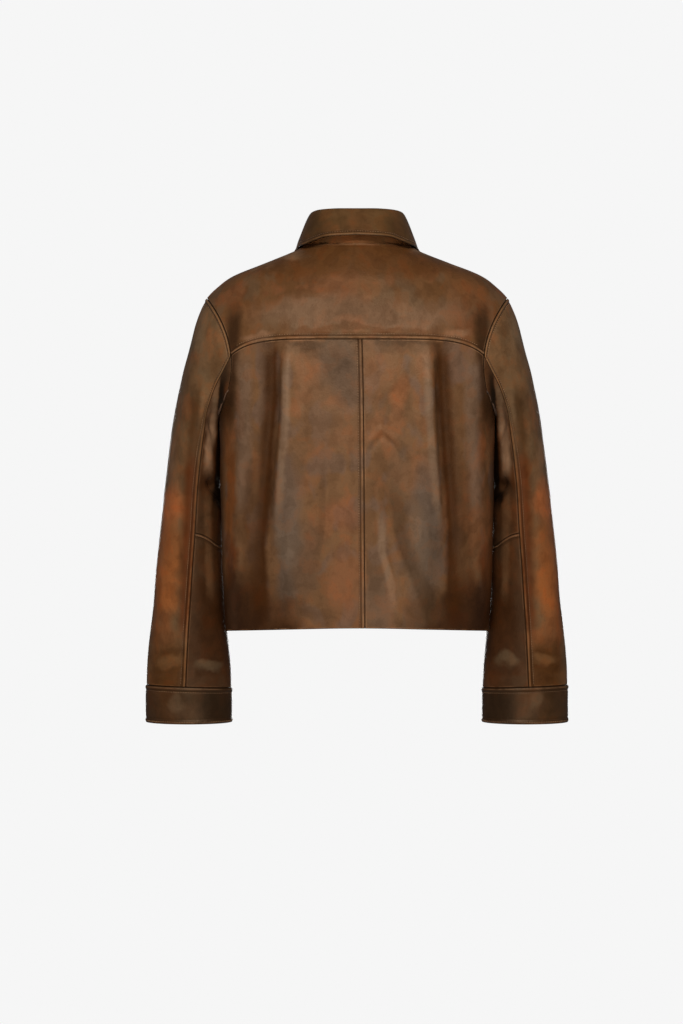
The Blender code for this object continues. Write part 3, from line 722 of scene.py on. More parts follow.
def leather(name, ground, dark, warm, cool, patches=(), bands=(), wear_and_highlight=tone(160, 116, 80), gloss=0.45,
            ridge_lightening=0.75, shade=tone(44, 26, 12), painted=None):
    """Oiled, well-used hide: mottled ground, patches, fine grain, seam ridges and cut edges lightened as
    wear and painted highlight, painted shade at the seams' edges and in their grooves.

    painted is the y of the patches' middles and their half size along y; without it they reach through.
    """
    finish, shader, place = new_finish(name)
    streaked = place.node("ShaderNodeMapping", (), {"Vector": place, "Scale": (1.0, 1.0, 0.6)})
    drift = cloud(place, DRIFT, 2.0, output="Color").vector("SUBTRACT", (0.5, 0.5, 0.5))
    small_drift = cloud(place, SMALL_DRIFT, 2.0, output="Color").vector("SUBTRACT", (0.5, 0.5, 0.5))
    wavering = place.vector("ADD", small_drift.vector("MULTIPLY", PATCH_SMALL_DRIFT))
    drifted = wavering.vector("ADD", drift.vector("MULTIPLY", PATCH_DRIFT))
    broad = cloud(streaked, BROAD_SHADE, 3.0)
    middling = cloud(streaked, MIDDLE_SHADE, 4.0, 0.6)
    fine = cloud(place, GRAIN, 3.0, 0.6)
    colour = broad.rise(0.34, 0.6, 0.4, 1.0).pair(dark, ground)
    redder = cloud(streaked.vector("ADD", RED_SHIFT), RED_SHADE, 3.0)
    colour = colour.blend(warm, redder.rise(0.48, 0.6, 0.0, 0.7))
    greyer = cloud(streaked.vector("ADD", GREY_SHIFT), GREY_SHADE, 2.0)
    colour = colour.blend(cool, greyer.rise(0.5, 0.62, 0.0, 0.7))
    back, through = (painted[0], 1 / (painted[1] * MM)) if painted else (0.0, 0.0)
    for patch in patches:
        centre = (-patch.across * MM, -back * MM, -patch.height * MM)
        size = (1 / (patch.half_across * MM), through, 1 / (patch.half_height * MM))
        off = drifted.vector("ADD", centre).vector("MULTIPLY", size).length()
        colour = colour.blend(patch.colour, off.rise(0.4, 1.2, patch.strength, 0.0))
    in_mm = place.vector("ADD", small_drift.vector("MULTIPLY", BAND_DRIFT))
    in_mm = in_mm.vector("MULTIPLY", (1 / MM, 1 / MM, 1 / MM))
    across, height = in_mm.axis(0), in_mm.axis(2)
    facing = in_mm.axis(1).rise(back + painted[1] * 0.6, back + painted[1], 1.0, 0.0) if painted else 1.0
    for band in bands:
        colour = colour.blend(band.colour, band_amount(across, height, band) * facing)
    blotch = cloud(drifted, BLOTCH, 2.0)
    colour = colour.blend(DEEPER, blotch.rise(0.5, 0.6, 0.0, 0.3), "MULTIPLY")
    colour = colour.blend(REDDER, blotch.rise(0.38, 0.46, 0.6, 0.0), "MULTIPLY")
    colour = colour.blend(DEEPER, middling.rise(0.5, 0.7, 0.0, 0.35), "MULTIPLY")
    colour = colour.blend(DEEPER, fine.rise(0.5, 0.75, 0.0, 0.3), "MULTIPLY")
    edge = place.node("ShaderNodeAttribute", {"attribute_name": "edge"}, output="Fac")
    stitched = place.node("ShaderNodeAttribute", {"attribute_name": "stitched"}, output="Fac")
    # Seam ridges and cut edges: wear and painted highlight. Seam edges and stitch grooves: painted shade.
    ridge_wear_and_highlight = stitched.band(*RIDGE) * middling.rise(0.36, 0.62, 0.2, 1.0) * ridge_lightening
    colour = colour.blend(wear_and_highlight, ridge_wear_and_highlight)
    colour = colour.blend(wear_and_highlight, edge.band(*CUT_EDGE) * middling.rise(0.4, 0.6, 0.0, 0.45))
    colour = colour.blend(shade, edge.rise(0.3, 1.5, 0.9, 0.0))
    groove = stitched.band(*STITCH_LINE) * 0.5 + stitched.band(*GROOVE) * 0.9
    colour = colour.blend(shade, groove * 0.8)
    roughness = gloss + (middling - 0.5) * 0.22 + (fine - 0.5) * 0.12 + ridge_wear_and_highlight * 0.06
    pores = place.node("ShaderNodeTexVoronoi", {"feature": "SMOOTH_F1"},
                       {"Vector": place, "Scale": PORES_PER_METRE})
    grain = pores * PORE_RELIEF + fine * GRAIN_RELIEF
    crinkle = cloud(place, CRINKLE, 5.0, 0.62) * CRINKLE_RELIEF
    pucker = cloud(place, PUCKER, 2.0) * stitched.rise(0.0, PUCKER_REACH, PUCKER_RELIEF, 0.0)
    connect(shader, colour, roughness, grain + crinkle + pucker)
    shader.inputs["Specular IOR Level"].default_value = 0.2
    shader.inputs["Specular Tint"].default_value = tone(255, 214, 172)
    return finish


def flesh(name, ground, dark):
    """The inner side of the hide: napped and dull."""
    finish, shader, place = new_finish(name)
    nap = cloud(place, 0.0016, 3.0, 0.7)
    colour = cloud(place, 0.05, 3.0).rise(0.35, 0.65).pair(dark, ground)
    colour = colour.blend(dark, nap.rise(0.45, 0.7, 0.0, 0.5))
    connect(shader, colour, 0.9, nap * 0.0003)
    return finish


def spun_thread(name, light, dark):
    """Waxed sewing thread, twisted."""
    finish, shader, place = new_finish(name)
    twist = cloud(place, 0.0006, 2.0)
    colour = cloud(place, 0.03, 2.0).rise(0.35, 0.65).pair(dark, light)
    colour = colour.blend(dark, twist.rise(0.4, 0.7, 0.0, 0.6))
    connect(shader, colour, 0.6, twist * 0.0002)
    return finish


thread_finish = spun_thread("thread", tone(172, 128, 88), tone(104, 70, 44))
flesh_finish = flesh("flesh_side", tone(96, 66, 44), tone(58, 38, 24))

YOKE_PATCHES = (
    Patch(0, -26, 190, 34, tone(84, 50, 22), 0.85),
    Patch(-150, -88, 36, 18, tone(104, 65, 36), 0.6),
    Patch(160, -76, 40, 24, tone(108, 66, 36), 0.6),
    # Painted sheen across the yoke's lower half.
    Patch(-60, -98, 100, 26, tone(108, 79, 57), 0.8),
    Patch(70, -104, 90, 26, tone(110, 80, 58), 0.8),
    Patch(8, -96, 84, 24, tone(90, 60, 38), 0.8),
    Patch(-34, -56, 14, 12, tone(110, 68, 40), 0.5),
    Patch(12, -64, 30, 12, tone(112, 74, 46), 0.5),
    Patch(-6, -110, 24, 10, tone(118, 74, 46), 0.5),
    Patch(0, -123, 132, 8, tone(86, 52, 26), 0.8),
    Patch(-104, -8, 30, 9, tone(122, 90, 62), 0.7),
    Patch(104, -8, 30, 9, tone(122, 90, 62), 0.7),
    Patch(-150, -26, 30, 9, tone(118, 84, 54), 0.6),
    Patch(150, -26, 30, 9, tone(118, 84, 54), 0.6),
    Patch(-142, -131, 24, 10, tone(130, 93, 66), 0.75),
    Patch(142, -131, 24, 10, tone(130, 93, 66), 0.75),
    Patch(62, -88, 12, 10, tone(112, 84, 60), 0.5),
    Patch(-80, -72, 30, 10, tone(82, 52, 26), 0.6),
    Patch(110, -66, 30, 12, tone(82, 52, 26), 0.6),
)
# Painted shade beside the armholes, where the back turns away towards the sleeves.
ARMHOLE_BANDS = (
    Band(((-174, -66), (-177, -144), (-182, -194), (-189, -280)), 16, 17, tone(48, 27, 11), 0.9),
    Band(((176, -66), (179, -144), (183, -194), (189, -280)), 17, 16, tone(48, 27, 11), 0.9),
)
yoke_finish = leather("leather_yoke", tone(100, 66, 38), tone(80, 49, 24), tone(110, 67, 40),
                      tone(94, 70, 48), YOKE_PATCHES, ARMHOLE_BANDS, ridge_lightening=0.45)


HOLLOW_DROP = 60.0


def behind_middle(points):
    """The trunk's hollow: its middle line, a little below each point's height."""
    middle = points.copy()
    middle[..., :2] = 0
    middle[..., 2] -= HOLLOW_DROP
    return middle


yoke = CutPiece(
    "yoke", "back_yoke", yoke_surface, shares(470, -1.0, 1.0), shares(196, NECK, YOKE),
    {"top": "rolled", "foot": "lapped", "first": "plain", "last": "plain"}, behind_middle,
    (
        Crease(((-150, -70), (-60, -92), (40, -96)), 22, 0.7),
        Crease(((60, -60), (130, -84), (190, -96)), 20, -0.7),
    ),
)
yoke.dress(yoke_finish)
sew("yoke_stitching", [(yoke, "foot", STITCH_INSET, 0.02, 0.98)])

# Back panels. Two mirrored pieces of hide meet at the centre-back seam; its allowance is pressed to the
# left and stitched there. They hang in long soft folds from the shoulder blades and end in a plain hem.

BACK_SEAM_TOP = 6.2
BACK_SEAM_HEM = 10.4


def back_surface(side):
    """Back panel of one side: u from the centre-back seam to the armhole and side seam."""

    def surface(u, step):
        seam = side * mix(BACK_SEAM_TOP, BACK_SEAM_HEM, (step - YOKE) / (HEM - YOKE))
        seam_turn = turn_at(seam, level_form.value("back_middle", step), True)
        return back_point(side * mix(seam_turn, edge_turn(side_height(step), True), u), step)

    return surface


BACK_PATCHES = (
    Patch(-30, -230, 60, 100, tone(108, 76, 52), 0.5),
    # Painted shadow just under the yoke seam.
    Patch(0, -147, 150, 14, tone(90, 62, 41), 0.65),
    Patch(0, -141, 140, 7, tone(64, 42, 25), 0.75),
    Patch(-32, -170, 30, 40, tone(81, 61, 46), 0.85),
    Patch(-16, -196, 22, 46, tone(80, 60, 46), 0.8),
    # Painted sheen: the grey patches down both sides of the middle.
    Patch(-96, -400, 24, 110, tone(92, 74, 60), 0.9),
    Patch(99, -400, 25, 108, tone(91, 74, 61), 0.9),
    Patch(-102, -476, 16, 46, tone(88, 70, 56), 0.8),
    Patch(26, -505, 30, 56, tone(95, 75, 59), 0.6),
    Patch(62, -330, 20, 60, tone(102, 76, 54), 0.5),
    Patch(-70, -180, 24, 26, tone(124, 82, 54), 0.4),
    Patch(58, -210, 16, 28, tone(130, 78, 44), 0.65),
    Patch(26, -180, 26, 30, tone(122, 80, 52), 0.4),
    Patch(-185, -350, 10, 100, tone(114, 64, 28), 0.8),
    Patch(178, -292, 12, 30, tone(128, 72, 38), 0.7),
    Patch(-22, -385, 30, 26, tone(124, 76, 48), 0.6),
    Patch(-22, -480, 30, 50, tone(118, 74, 46), 0.6),
    Patch(-76, -464, 24, 44, tone(86, 62, 44), 0.8),
    Patch(22, -470, 14, 40, tone(84, 60, 42), 0.6),
    Patch(182, -420, 12, 90, tone(104, 62, 34), 0.6),
    Patch(-182, -460, 14, 50, tone(84, 40, 10), 0.7),
    Patch(185, -470, 12, 46, tone(88, 44, 14), 0.7),
    Patch(92, -512, 34, 26, tone(70, 48, 30), 0.8),
    Patch(-92, -520, 32, 24, tone(76, 50, 31), 0.75),
    # Painted sheen.
    Patch(88, -450, 32, 64, tone(88, 70, 55), 0.8),
    # Painted shade in the lower corners and along the hem.
    Patch(160, -526, 62, 66, tone(48, 25, 10), 1.0),
    Patch(-165, -524, 66, 68, tone(48, 25, 10), 1.0),
    Patch(-116, -558, 48, 30, tone(56, 31, 13), 0.95),
    Patch(112, -558, 46, 32, tone(56, 31, 14), 0.95),
    Patch(-60, -560, 30, 14, tone(76, 50, 26), 0.8),
    Patch(-178, -520, 14, 50, tone(64, 40, 24), 0.7),
    Patch(-104, -420, 12, 40, tone(104, 84, 67), 0.7),
    Patch(72, -538, 26, 16, tone(76, 52, 33), 0.7),
    Patch(28, -536, 22, 14, tone(88, 68, 52), 0.5),
    Patch(-58, -534, 24, 14, tone(86, 58, 38), 0.5),
    Patch(-62, -420, 18, 26, tone(84, 60, 44), 0.5),
    Patch(78, -395, 14, 40, tone(104, 82, 64), 0.6),
)
# Painted shade beside the armholes, down the folds' troughs, at the sides and low down, and painted
# highlight down the ridges and swells beside them.
BACK_BANDS = ARMHOLE_BANDS + (
    Band(((-160, -140), (-160, -260), (-162, -400)), 16, 16, tone(108, 84, 66), 0.65),
    Band(((160, -140), (163, -250), (168, -400)), 16, 16, tone(108, 84, 66), 0.65),
    Band(((-101, -140), (-103, -246), (-108, -308), (-114, -400)), 6, 11, tone(122, 96, 74), 0.7),
    Band(((99, -140), (103, -246), (108, -308), (117, -400)), 11, 6, tone(122, 96, 74), 0.65),
    Band(((-150, -290), (-154, -400), (-158, -560)), 14, 18, tone(66, 38, 17), 0.5),
    Band(((150, -290), (154, -420), (160, -560)), 18, 16, tone(64, 36, 16), 0.5),
    Band(((-122, -120), (-119, -215), (-126, -290), (-129, -363), (-138, -430), (-132, -550)), 23, 13,
         tone(56, 27, 5), 0.95),
    Band(((116, -120), (119, -226), (125, -287), (130, -350), (134, -410), (132, -550)), 13, 24,
         tone(56, 27, 5), 0.95),
    Band(((-195, -165), (-195, -260), (-198, -400), (-196, -540)), 5, 10, tone(48, 28, 14), 0.5),
    Band(((190, -165), (194, -260), (197, -400), (195, -540)), 10, 5, tone(48, 28, 14), 0.45),
    Band(((46, -325), (51, -363), (64, -433), (84, -475), (108, -550)), 12, 22, tone(66, 45, 28), 0.7),
    Band(((32, -370), (35, -433), (45, -475), (54, -530)), 9, 8, tone(128, 100, 76), 0.6),
    Band(((-49, -300), (-48, -400), (-60, -470)), 10, 5, tone(84, 56, 34), 0.4),
)
back_finish = leather("leather_back", tone(108, 75, 48), tone(88, 58, 34), tone(118, 75, 46),
                      tone(98, 75, 60), BACK_PATCHES, BACK_BANDS, ridge_lightening=0.4)

BACK_CREASES = {
    "left": (
        Crease(((-118, -140), (-123, -246), (-129, -308), (-137, -390), (-140, -480)), 10, -5.5),
        Crease(((-101, -140), (-103, -246), (-109, -308), (-115, -370), (-118, -440)), 7, 3.2),
        Crease(((-163, -170), (-165, -270), (-168, -400)), 12, 2.4),
        Crease(((-45, -330), (-40, -430), (-50, -520)), 12, 1.2),
        Crease(((-70, -150), (-78, -210), (-74, -290)), 10, -1.1),
        Crease(((-178, -270), (-160, -300), (-150, -340)), 7, -1.3),
    ),
    "right": (
        Crease(((118, -140), (123, -230), (128, -308), (134, -390), (139, -470)), 10, -5.5),
        Crease(((103, -140), (105, -246), (109, -308), (116, -370), (122, -430)), 7, 3.2),
        Crease(((163, -170), (167, -260), (172, -380)), 12, 2.4),
        Crease(((12, -286), (27, -271), (33, -263), (48, -275), (70, -295)), 3.2, 2.2),
        Crease(((16, -294), (31, -276), (36, -272), (50, -285), (64, -301)), 3.6, -2.0),
        Crease(((26, -330), (30, -390), (38, -440), (46, -510)), 6, 1.6),
        Crease(((40, -318), (46, -380), (64, -430), (84, -475)), 7, -2.2),
        Crease(((176, -270), (158, -305), (150, -350)), 7, -1.3),
    ),
}
back_panels = {}
for label, side, stitched_edge in (("left", -1, "lapped"), ("right", 1, "plain")):
    panel = CutPiece(
        f"back_{label}", f"back_panel_{label}", back_surface(side), shares(225), shares(412, YOKE, HEM),
        {"top": "plain", "foot": "free", "first": stitched_edge, "last": "plain"}, behind_middle,
        BACK_CREASES[label], tuck=TUCK_UNDER,
    )
    panel.dress(back_finish)
    back_panels[label] = panel
sew("back_seam_stitching", [(back_panels["left"], "first", STITCH_INSET, 0.0, 1.0)])

# Fronts. Two pieces from the shoulder to the hem, the left one lapped over the right one under the buttons.
# Their lapped edges are folded and stitched.

FRONT_LAP = 15.0
LAP_CLEARANCE = 0.5
LAP_RAMP_START = 48.0
LAP_RAMP_END = 22.0
CAP_ROWS = 0.1
CAP_MARGIN = 0.04
NECKLINE_CURVE = 1.4
LAP_TURN_LIMIT = 1.2


def front_drop(share):
    """Shape of the front neckline: 0 in the middle, 1 at the side-neck point."""
    return 1 - ease((1 - share) ** NECKLINE_CURVE)


def front_surface(side):
    """Front of one side: u from its edge past the middle to the armhole and side seam."""

    def place(u, step):
        middle = level_form.value("front_middle", step)
        outer = math.pi - edge_turn(side_height(step), False)
        depth = trunk_form.value("front_depth", middle)
        turn = mix(-math.atan2(FRONT_LAP, depth), outer, u)
        share = min(1.0, abs(turn) / outer)
        height = mix(middle, side_height(step), mix(front_drop(share), ease(share), ease(step)))
        lower = 0.0
        if side > 0:
            across = depth * math.tan(min(turn, LAP_TURN_LIMIT))
            ramp = ease((LAP_RAMP_START - across) / (LAP_RAMP_START - LAP_RAMP_END))
            lower = (WALL + LAP_CLEARANCE) * ramp
        return Vector(trunk_point(side * (math.pi - turn), height, lower))

    def surface(u, step):
        """Rows beside the shoulder point are spread evenly, save at the armhole's edge."""
        share = (step - SHOULDER + CAP_ROWS) / (2 * CAP_ROWS)
        if not 0 < share < 1:
            return tuple(place(u, step))
        spread = place(u, SHOULDER - CAP_ROWS).lerp(place(u, SHOULDER + CAP_ROWS), share)
        return tuple(place(u, step).lerp(spread, ease((1 - u) / CAP_MARGIN)))

    return surface


MID_BROWN = tone(112, 78, 48)
DARK_BROWN = tone(78, 47, 23)
RED_BROWN = tone(122, 77, 46)
RUST = tone(134, 76, 40)
GREY_BROWN = tone(104, 84, 64)
FRONT_PATCHES = (
    Patch(0, -120, 200, 40, tone(94, 60, 32), 0.5),
    # Painted shade down the folds' troughs.
    Patch(-126, -300, 14, 120, tone(72, 45, 25), 0.7),
    Patch(126, -320, 14, 120, tone(72, 45, 25), 0.7),
    # Painted highlight down the folds' ridges.
    Patch(-95, -300, 10, 110, tone(114, 90, 68), 0.5),
    Patch(94, -340, 10, 100, tone(112, 88, 68), 0.5),
    Patch(-60, -200, 36, 34, RED_BROWN, 0.6),
    Patch(64, -230, 34, 40, RUST, 0.45),
    Patch(80, -430, 34, 70, GREY_BROWN, 0.6),
    Patch(-84, -460, 34, 70, GREY_BROWN, 0.6),
    Patch(-165, -320, 20, 50, RUST, 0.45),
    Patch(165, -280, 20, 50, RED_BROWN, 0.55),
    # Painted shade in the lower corners and along the hem.
    Patch(150, -500, 36, 60, tone(62, 38, 20), 0.7),
    Patch(-150, -490, 36, 60, tone(62, 38, 20), 0.7),
    Patch(0, -545, 200, 14, tone(66, 42, 24), 0.6),
)
front_finish = leather("leather_front", MID_BROWN, DARK_BROWN, RED_BROWN, GREY_BROWN, FRONT_PATCHES)
FRONT_CREASES = {
    "left": (
        Crease(((-40, -210), (-54, -300), (-46, -380)), 12, -1.2),
        Crease(((-150, -280), (-120, -310), (-96, -350)), 7, -1.2),
        Crease(((-62, -400), (-52, -470), (-60, -530)), 10, 1.2),
    ),
    "right": (
        Crease(((46, -240), (58, -320), (52, -420)), 12, -1.2),
        Crease(((156, -276), (128, -300), (104, -330)), 6, -1.1),
        Crease(((74, -430), (60, -490), (64, -535)), 9, 1.2),
    ),
}
fronts = {}
for label, side in (("left", -1), ("right", 1)):
    front = CutPiece(
        f"front_{label}", f"front_panel_{label}", front_surface(side), shares(262), shares(520, NECK, HEM),
        {"top": "plain", "foot": "free", "first": "lapped", "last": "plain"}, behind_middle,
        FRONT_CREASES[label],
    )
    front.dress(front_finish)
    fronts[label] = front
sew("front_edge_stitching", [(fronts["left"], "first", STITCH_INSET)])

# Sleeves. Each has an upper sleeve of hide over the outside of the arm and an under sleeve cut in two at
# the elbow. The upper sleeve's edges are folded and stitched beside the armhole and down the back seam.

Ring = namedtuple("Ring", "outer_x outer_z inner_x inner_z scoop half_depth middle_y back_seam trunk_share")
SLEEVE = (
    Ring(217.5, -70, 200, -245, 29, 74, 0, 0.495, 1.0),
    Ring(226, -88, 200.4, -249, 20, 75, 3, 0.42, 0.55),
    Ring(234, -109, 200.4, -254, 11, 76, 8, 0.362, 0.2),
    Ring(244, -144, 200.2, -261, 4, 78, 14, 0.318, 0.0),
    Ring(253.5, -178, 200.0, -268, 0, 79, 19, 0.29, 0.0),
    Ring(261, -213, 199.5, -277, 0, 79, 24, 0.3, 0.0),
    Ring(267.5, -248, 198.7, -290, 0, 79, 29, 0.324, 0.0),
    Ring(273.5, -283, 197.8, -306, 0, 78, 33, 0.346, 0.0),
    Ring(278, -316, 197.2, -322, 0, 77, 36, 0.366, 0.0),
    Ring(280.5, -337, 197.0, -338, 0, 76, 37, 0.377, 0.0),
    Ring(282.5, -354, 196.7, -353, 0, 75, 38, 0.386, 0.0),
    Ring(284, -372, 196.4, -371, 0, 74, 38, 0.394, 0.0),
    Ring(287.5, -405, 195.6, -405, 0, 71, 38, 0.406, 0.0),
    Ring(293, -457, 194.1, -457, 0, 65, 38, 0.433, 0.0),
    Ring(297.5, -509, 191.9, -509, 0, 57, 38, 0.463, 0.0),
    Ring(302, -550, 189.8, -550, 0, 51, 37, 0.482, 0.0),
    Ring(305, -579, 187, -579, 0, 46, 36, 0.497, 0.0),
    Ring(306.6, -603, 184.3, -605, 0, 41, 35, 0.513, 0.0),
    Ring(307.6, -632, 183.5, -636, 0, 37, 34, 0.524, 0.0),
)
LAST_RING = len(SLEEVE) - 1
SleeveFold = namedtuple("SleeveFold", "ring turn ring_reach turn_reach depth")
SLEEVE_FOLDS = (
    SleeveFold(9.3, 138, 0.75, 20, 8.0),
    SleeveFold(8.0, 128, 0.7, 24, -2.5),
    SleeveFold(10.9, 150, 0.8, 26, -2.0),
    SleeveFold(9.6, -60, 0.8, 30, 3.0),
    SleeveFold(17.2, 120, 0.5, 30, 2.0),
    SleeveFold(3.6, 138, 1.7, 17, 9.0),
)
FRONT_SEAM_TURN = math.radians(225)
SLEEVE_STEP_OUT = 0.6
SLEEVE_STEP_DOWN = 0.6
ELBOW_AT_BACK = 12.13
ELBOW_AT_INSIDE = 12.5
sleeve_form = Table(SLEEVE, range(len(SLEEVE)))


def fold_depth(turn, ring):
    """How deep the sleeve's folds sink its surface at a turn and a ring."""
    depth = 0.0
    for fold in SLEEVE_FOLDS:
        round_way = (math.degrees(turn) - fold.turn + 180) % 360 - 180
        along = (ring - fold.ring) / fold.ring_reach
        depth += fold.depth * math.exp(-(along**2) - (round_way / fold.turn_reach) ** 2)
    return depth


def sleeve_point(turn, ring, proud=0.0, drop=0.0, step_row=1.0):
    """Point of a right sleeve. turn is 0 at the outer edge, 90 degrees at the back, 180 inside."""
    value = {name: sleeve_form.value(name, ring) for name in Ring._fields}
    out, back = math.cos(turn), math.sin(turn)
    sunk = fold_depth(turn, ring)
    reach_x = (value["outer_x"] - value["inner_x"]) / 2 + proud - sunk
    x = (value["outer_x"] + value["inner_x"]) / 2 + reach_x * out - value["scoop"] * back * back
    z = (value["outer_z"] + value["inner_z"]) / 2 + (value["outer_z"] - value["inner_z"]) / 2 * out - drop
    y = value["middle_y"] - (value["half_depth"] + proud - sunk) * back
    share = min(1.0, max(0.0, value["trunk_share"]))
    if share > 0:
        height = ARMHOLE_MIDDLE_Z + ARMHOLE_HALF_HEIGHT * out
        y = mix(y, trunk_point(edge_turn(height, back >= 0), height)[1], share)
    start = 1 - ease(3 * step_row)
    return (x + SLEEVE_STEP_OUT * start, y, z - SLEEVE_STEP_DOWN * start)


def back_seam_turn(ring):
    """Turn of the sleeve's back seam at a ring."""
    return math.acos(2 * sleeve_form.value("back_seam", ring) - 1)


def sleeve_ring(row, elbow):
    """Ring number of a row: rows 0 to 1 end at the elbow seam, rows 1 to 2 at the cuff."""
    return elbow * row if row <= 1 else mix(elbow, LAST_RING, row - 1)


def upper_sleeve(side):
    """Upper sleeve: u from the back seam over the outer edge to the front seam."""

    def surface(u, row):
        ring = sleeve_ring(row, mix(ELBOW_AT_BACK, ELBOW_AT_INSIDE, u))
        turn = mix(back_seam_turn(ring), FRONT_SEAM_TURN - 2 * math.pi, u)
        x, y, z = sleeve_point(turn, ring, step_row=row)
        return (side * x, y, z)

    return surface


def under_sleeve(side):
    """Under sleeve: u from the back seam past the inner edge to the front seam."""

    def surface(u, row):
        ring = sleeve_ring(row, mix(ELBOW_AT_BACK, ELBOW_AT_INSIDE, ease(2 * u)))
        turn = mix(back_seam_turn(ring), FRONT_SEAM_TURN, u)
        x, y, z = sleeve_point(turn, ring, step_row=row)
        return (side * x, y, z)

    return surface


SLEEVE_AXIS_X = 245.0
SLEEVE_AXIS_Y = 30.0
ROUND_MM = 0.85


def inside_sleeve(side):
    """The sleeve's hollow: its axis at each point's height."""

    def middle(points):
        axis = points.copy()
        axis[..., 0] = side * SLEEVE_AXIS_X
        axis[..., 1] = SLEEVE_AXIS_Y
        return axis

    return middle


def round_sleeve(side):
    """Way round the sleeve in millimetres: 0 at the outer edge, positive towards the back."""

    def way(points):
        out = side * points[..., 0] - SLEEVE_AXIS_X
        turn = np.degrees(np.arctan2(SLEEVE_AXIS_Y - points[..., 1], out))
        return np.where(turn < -135, turn + 360, turn) * ROUND_MM

    return way


LEFT_DROP = 4
LEFT_FADE = 0.95


def both_sides(patches):
    """The same patches on the left and the right, not quite alike."""
    left = tuple(
        one._replace(across=-one.across, height=one.height - LEFT_DROP, strength=one.strength * LEFT_FADE)
        for one in patches
    )
    return patches + left


def both_bands(bands):
    """The same bands on the left and the right."""
    left = []
    for one in bands:
        path = tuple((-across, high) for across, high in one.path)
        left.append(one._replace(path=path, left=one.right, right=one.left))
    return bands + tuple(left)


OLIVE_BROWN = tone(97, 71, 46)
UPPER_PATCHES = both_sides((
    Patch(262, -160, 40, 90, OLIVE_BROWN, 0.7),
    Patch(222, -130, 14, 56, tone(124, 96, 68), 0.6),
    Patch(270, -300, 34, 70, OLIVE_BROWN, 0.6),
    Patch(264, -330, 14, 30, tone(122, 84, 54), 0.6),
    Patch(266, -295, 14, 26, tone(128, 92, 62), 0.6),
    Patch(268, -366, 24, 36, tone(158, 89, 47), 0.9),
    Patch(274, -424, 26, 42, tone(138, 79, 38), 0.75),
    Patch(278, -484, 26, 54, tone(150, 84, 39), 0.8),
    Patch(296, -520, 10, 90, tone(120, 60, 18), 0.6),
    Patch(284, -550, 22, 30, tone(116, 66, 34), 0.6),
    Patch(300, -500, 6, 120, tone(80, 54, 34), 0.5),
    Patch(270, -606, 50, 54, tone(70, 39, 13), 0.95),
    # Painted highlight on the wrinkle just above the cuff.
    Patch(272, -594, 24, 11, tone(114, 78, 46), 0.5),
))
UPPER_BANDS = both_bands((
    Band(((227, -180), (233, -270), (236, -345)), 10, 16, tone(66, 42, 21), 0.85),
    Band(((235, -280), (238, -361), (242, -448), (247, -580)), 12, 20, tone(80, 36, 8), 0.95),
))
UNDER_PATCHES = both_sides((
    # Painted shade in the notch of the elbow fold.
    Patch(207, -353, 11, 13, tone(15, 8, 4), 0.95),
    Patch(214, -560, 50, 90, tone(52, 27, 10), 0.8),
    # Painted highlight on the wrinkle just above the cuff.
    Patch(217, -601, 20, 10, tone(96, 76, 54), 0.55),
))
# Painted highlight down the lit strips of the under sleeve and along its fold above the elbow, and painted
# shade down the dark gap against the body.
UNDER_BANDS = both_bands((
    Band(((196, -170), (206, -239), (211, -275), (214, -300)), 7, 7, tone(112, 86, 62), 0.7),
    Band(((208, -215), (210, -256), (213, -290), (216, -342)), 8, 9, tone(158, 120, 89), 0.85),
    Band(((189, -160), (198, -239), (201, -275), (203, -318), (207, -390)), 10, 4, tone(14, 8, 4), 0.95),
    Band(((216, -330), (215, -400), (214, -460), (213, -520)), 8, 8, tone(94, 64, 40), 0.8),
    Band(((201, -330), (203, -420), (199, -540)), 7, 8, tone(38, 22, 11), 0.2),
))
SLEEVE_BACK = (-6, 66)
upper_finish = leather("leather_upper_sleeve", tone(110, 79, 51), tone(82, 55, 31), tone(122, 76, 43),
                       tone(98, 75, 51), UPPER_PATCHES, UPPER_BANDS, wear_and_highlight=tone(138, 92, 56), ridge_lightening=0.5,
                       painted=SLEEVE_BACK)
under_finish = leather("leather_under_sleeve", tone(70, 42, 22), tone(52, 30, 14), tone(82, 46, 22),
                       tone(66, 45, 28), UNDER_PATCHES, UNDER_BANDS, wear_and_highlight=tone(120, 82, 54))

UPPER_CREASES = (
    Crease(((70, -372), (52, -380), (34, -376)), 5, -1.1),
    Crease(((74, -392), (50, -402), (30, -398)), 5, 1.0),
    Crease(((-40, -330), (-70, -345), (-100, -340)), 8, -2.2),
    Crease(((-44, -372), (-74, -384), (-104, -376)), 8, -1.8),
    Crease(((16, -604), (40, -598), (66, -588)), 6, 1.8),
    Crease(((10, -616), (36, -612), (62, -602)), 5, -1.6),
    Crease(((-30, -586), (-60, -598), (-90, -592)), 8, -1.2),
    Crease(((10, -150), (20, -210), (14, -270)), 14, 0.9),
)
UNDER_CREASES = (
    Crease(((142, -190), (150, -260), (150, -330)), 18, 2.2),
    Crease(((100, -334), (112, -342), (124, -354), (146, -372)), 4.5, -5.0),
    Crease(((98, -316), (112, -328), (126, -340), (144, -356)), 4.5, 1.6),
    Crease(((96, -408), (112, -412), (130, -408)), 3.0, -0.8),
    Crease(((92, -398), (110, -400), (126, -394)), 2.6, 0.7),
    Crease(((96, -424), (114, -430), (134, -424)), 4.0, -0.9),
    Crease(((100, -360), (120, -372), (146, -366)), 6, -1.4),
    Crease(((92, -596), (116, -604), (140, -598)), 6, 2.0),
    Crease(((92, -612), (118, -618), (142, -614)), 5, -1.8),
    Crease(((100, -470), (110, -520), (104, -570)), 9, -1.0),
)
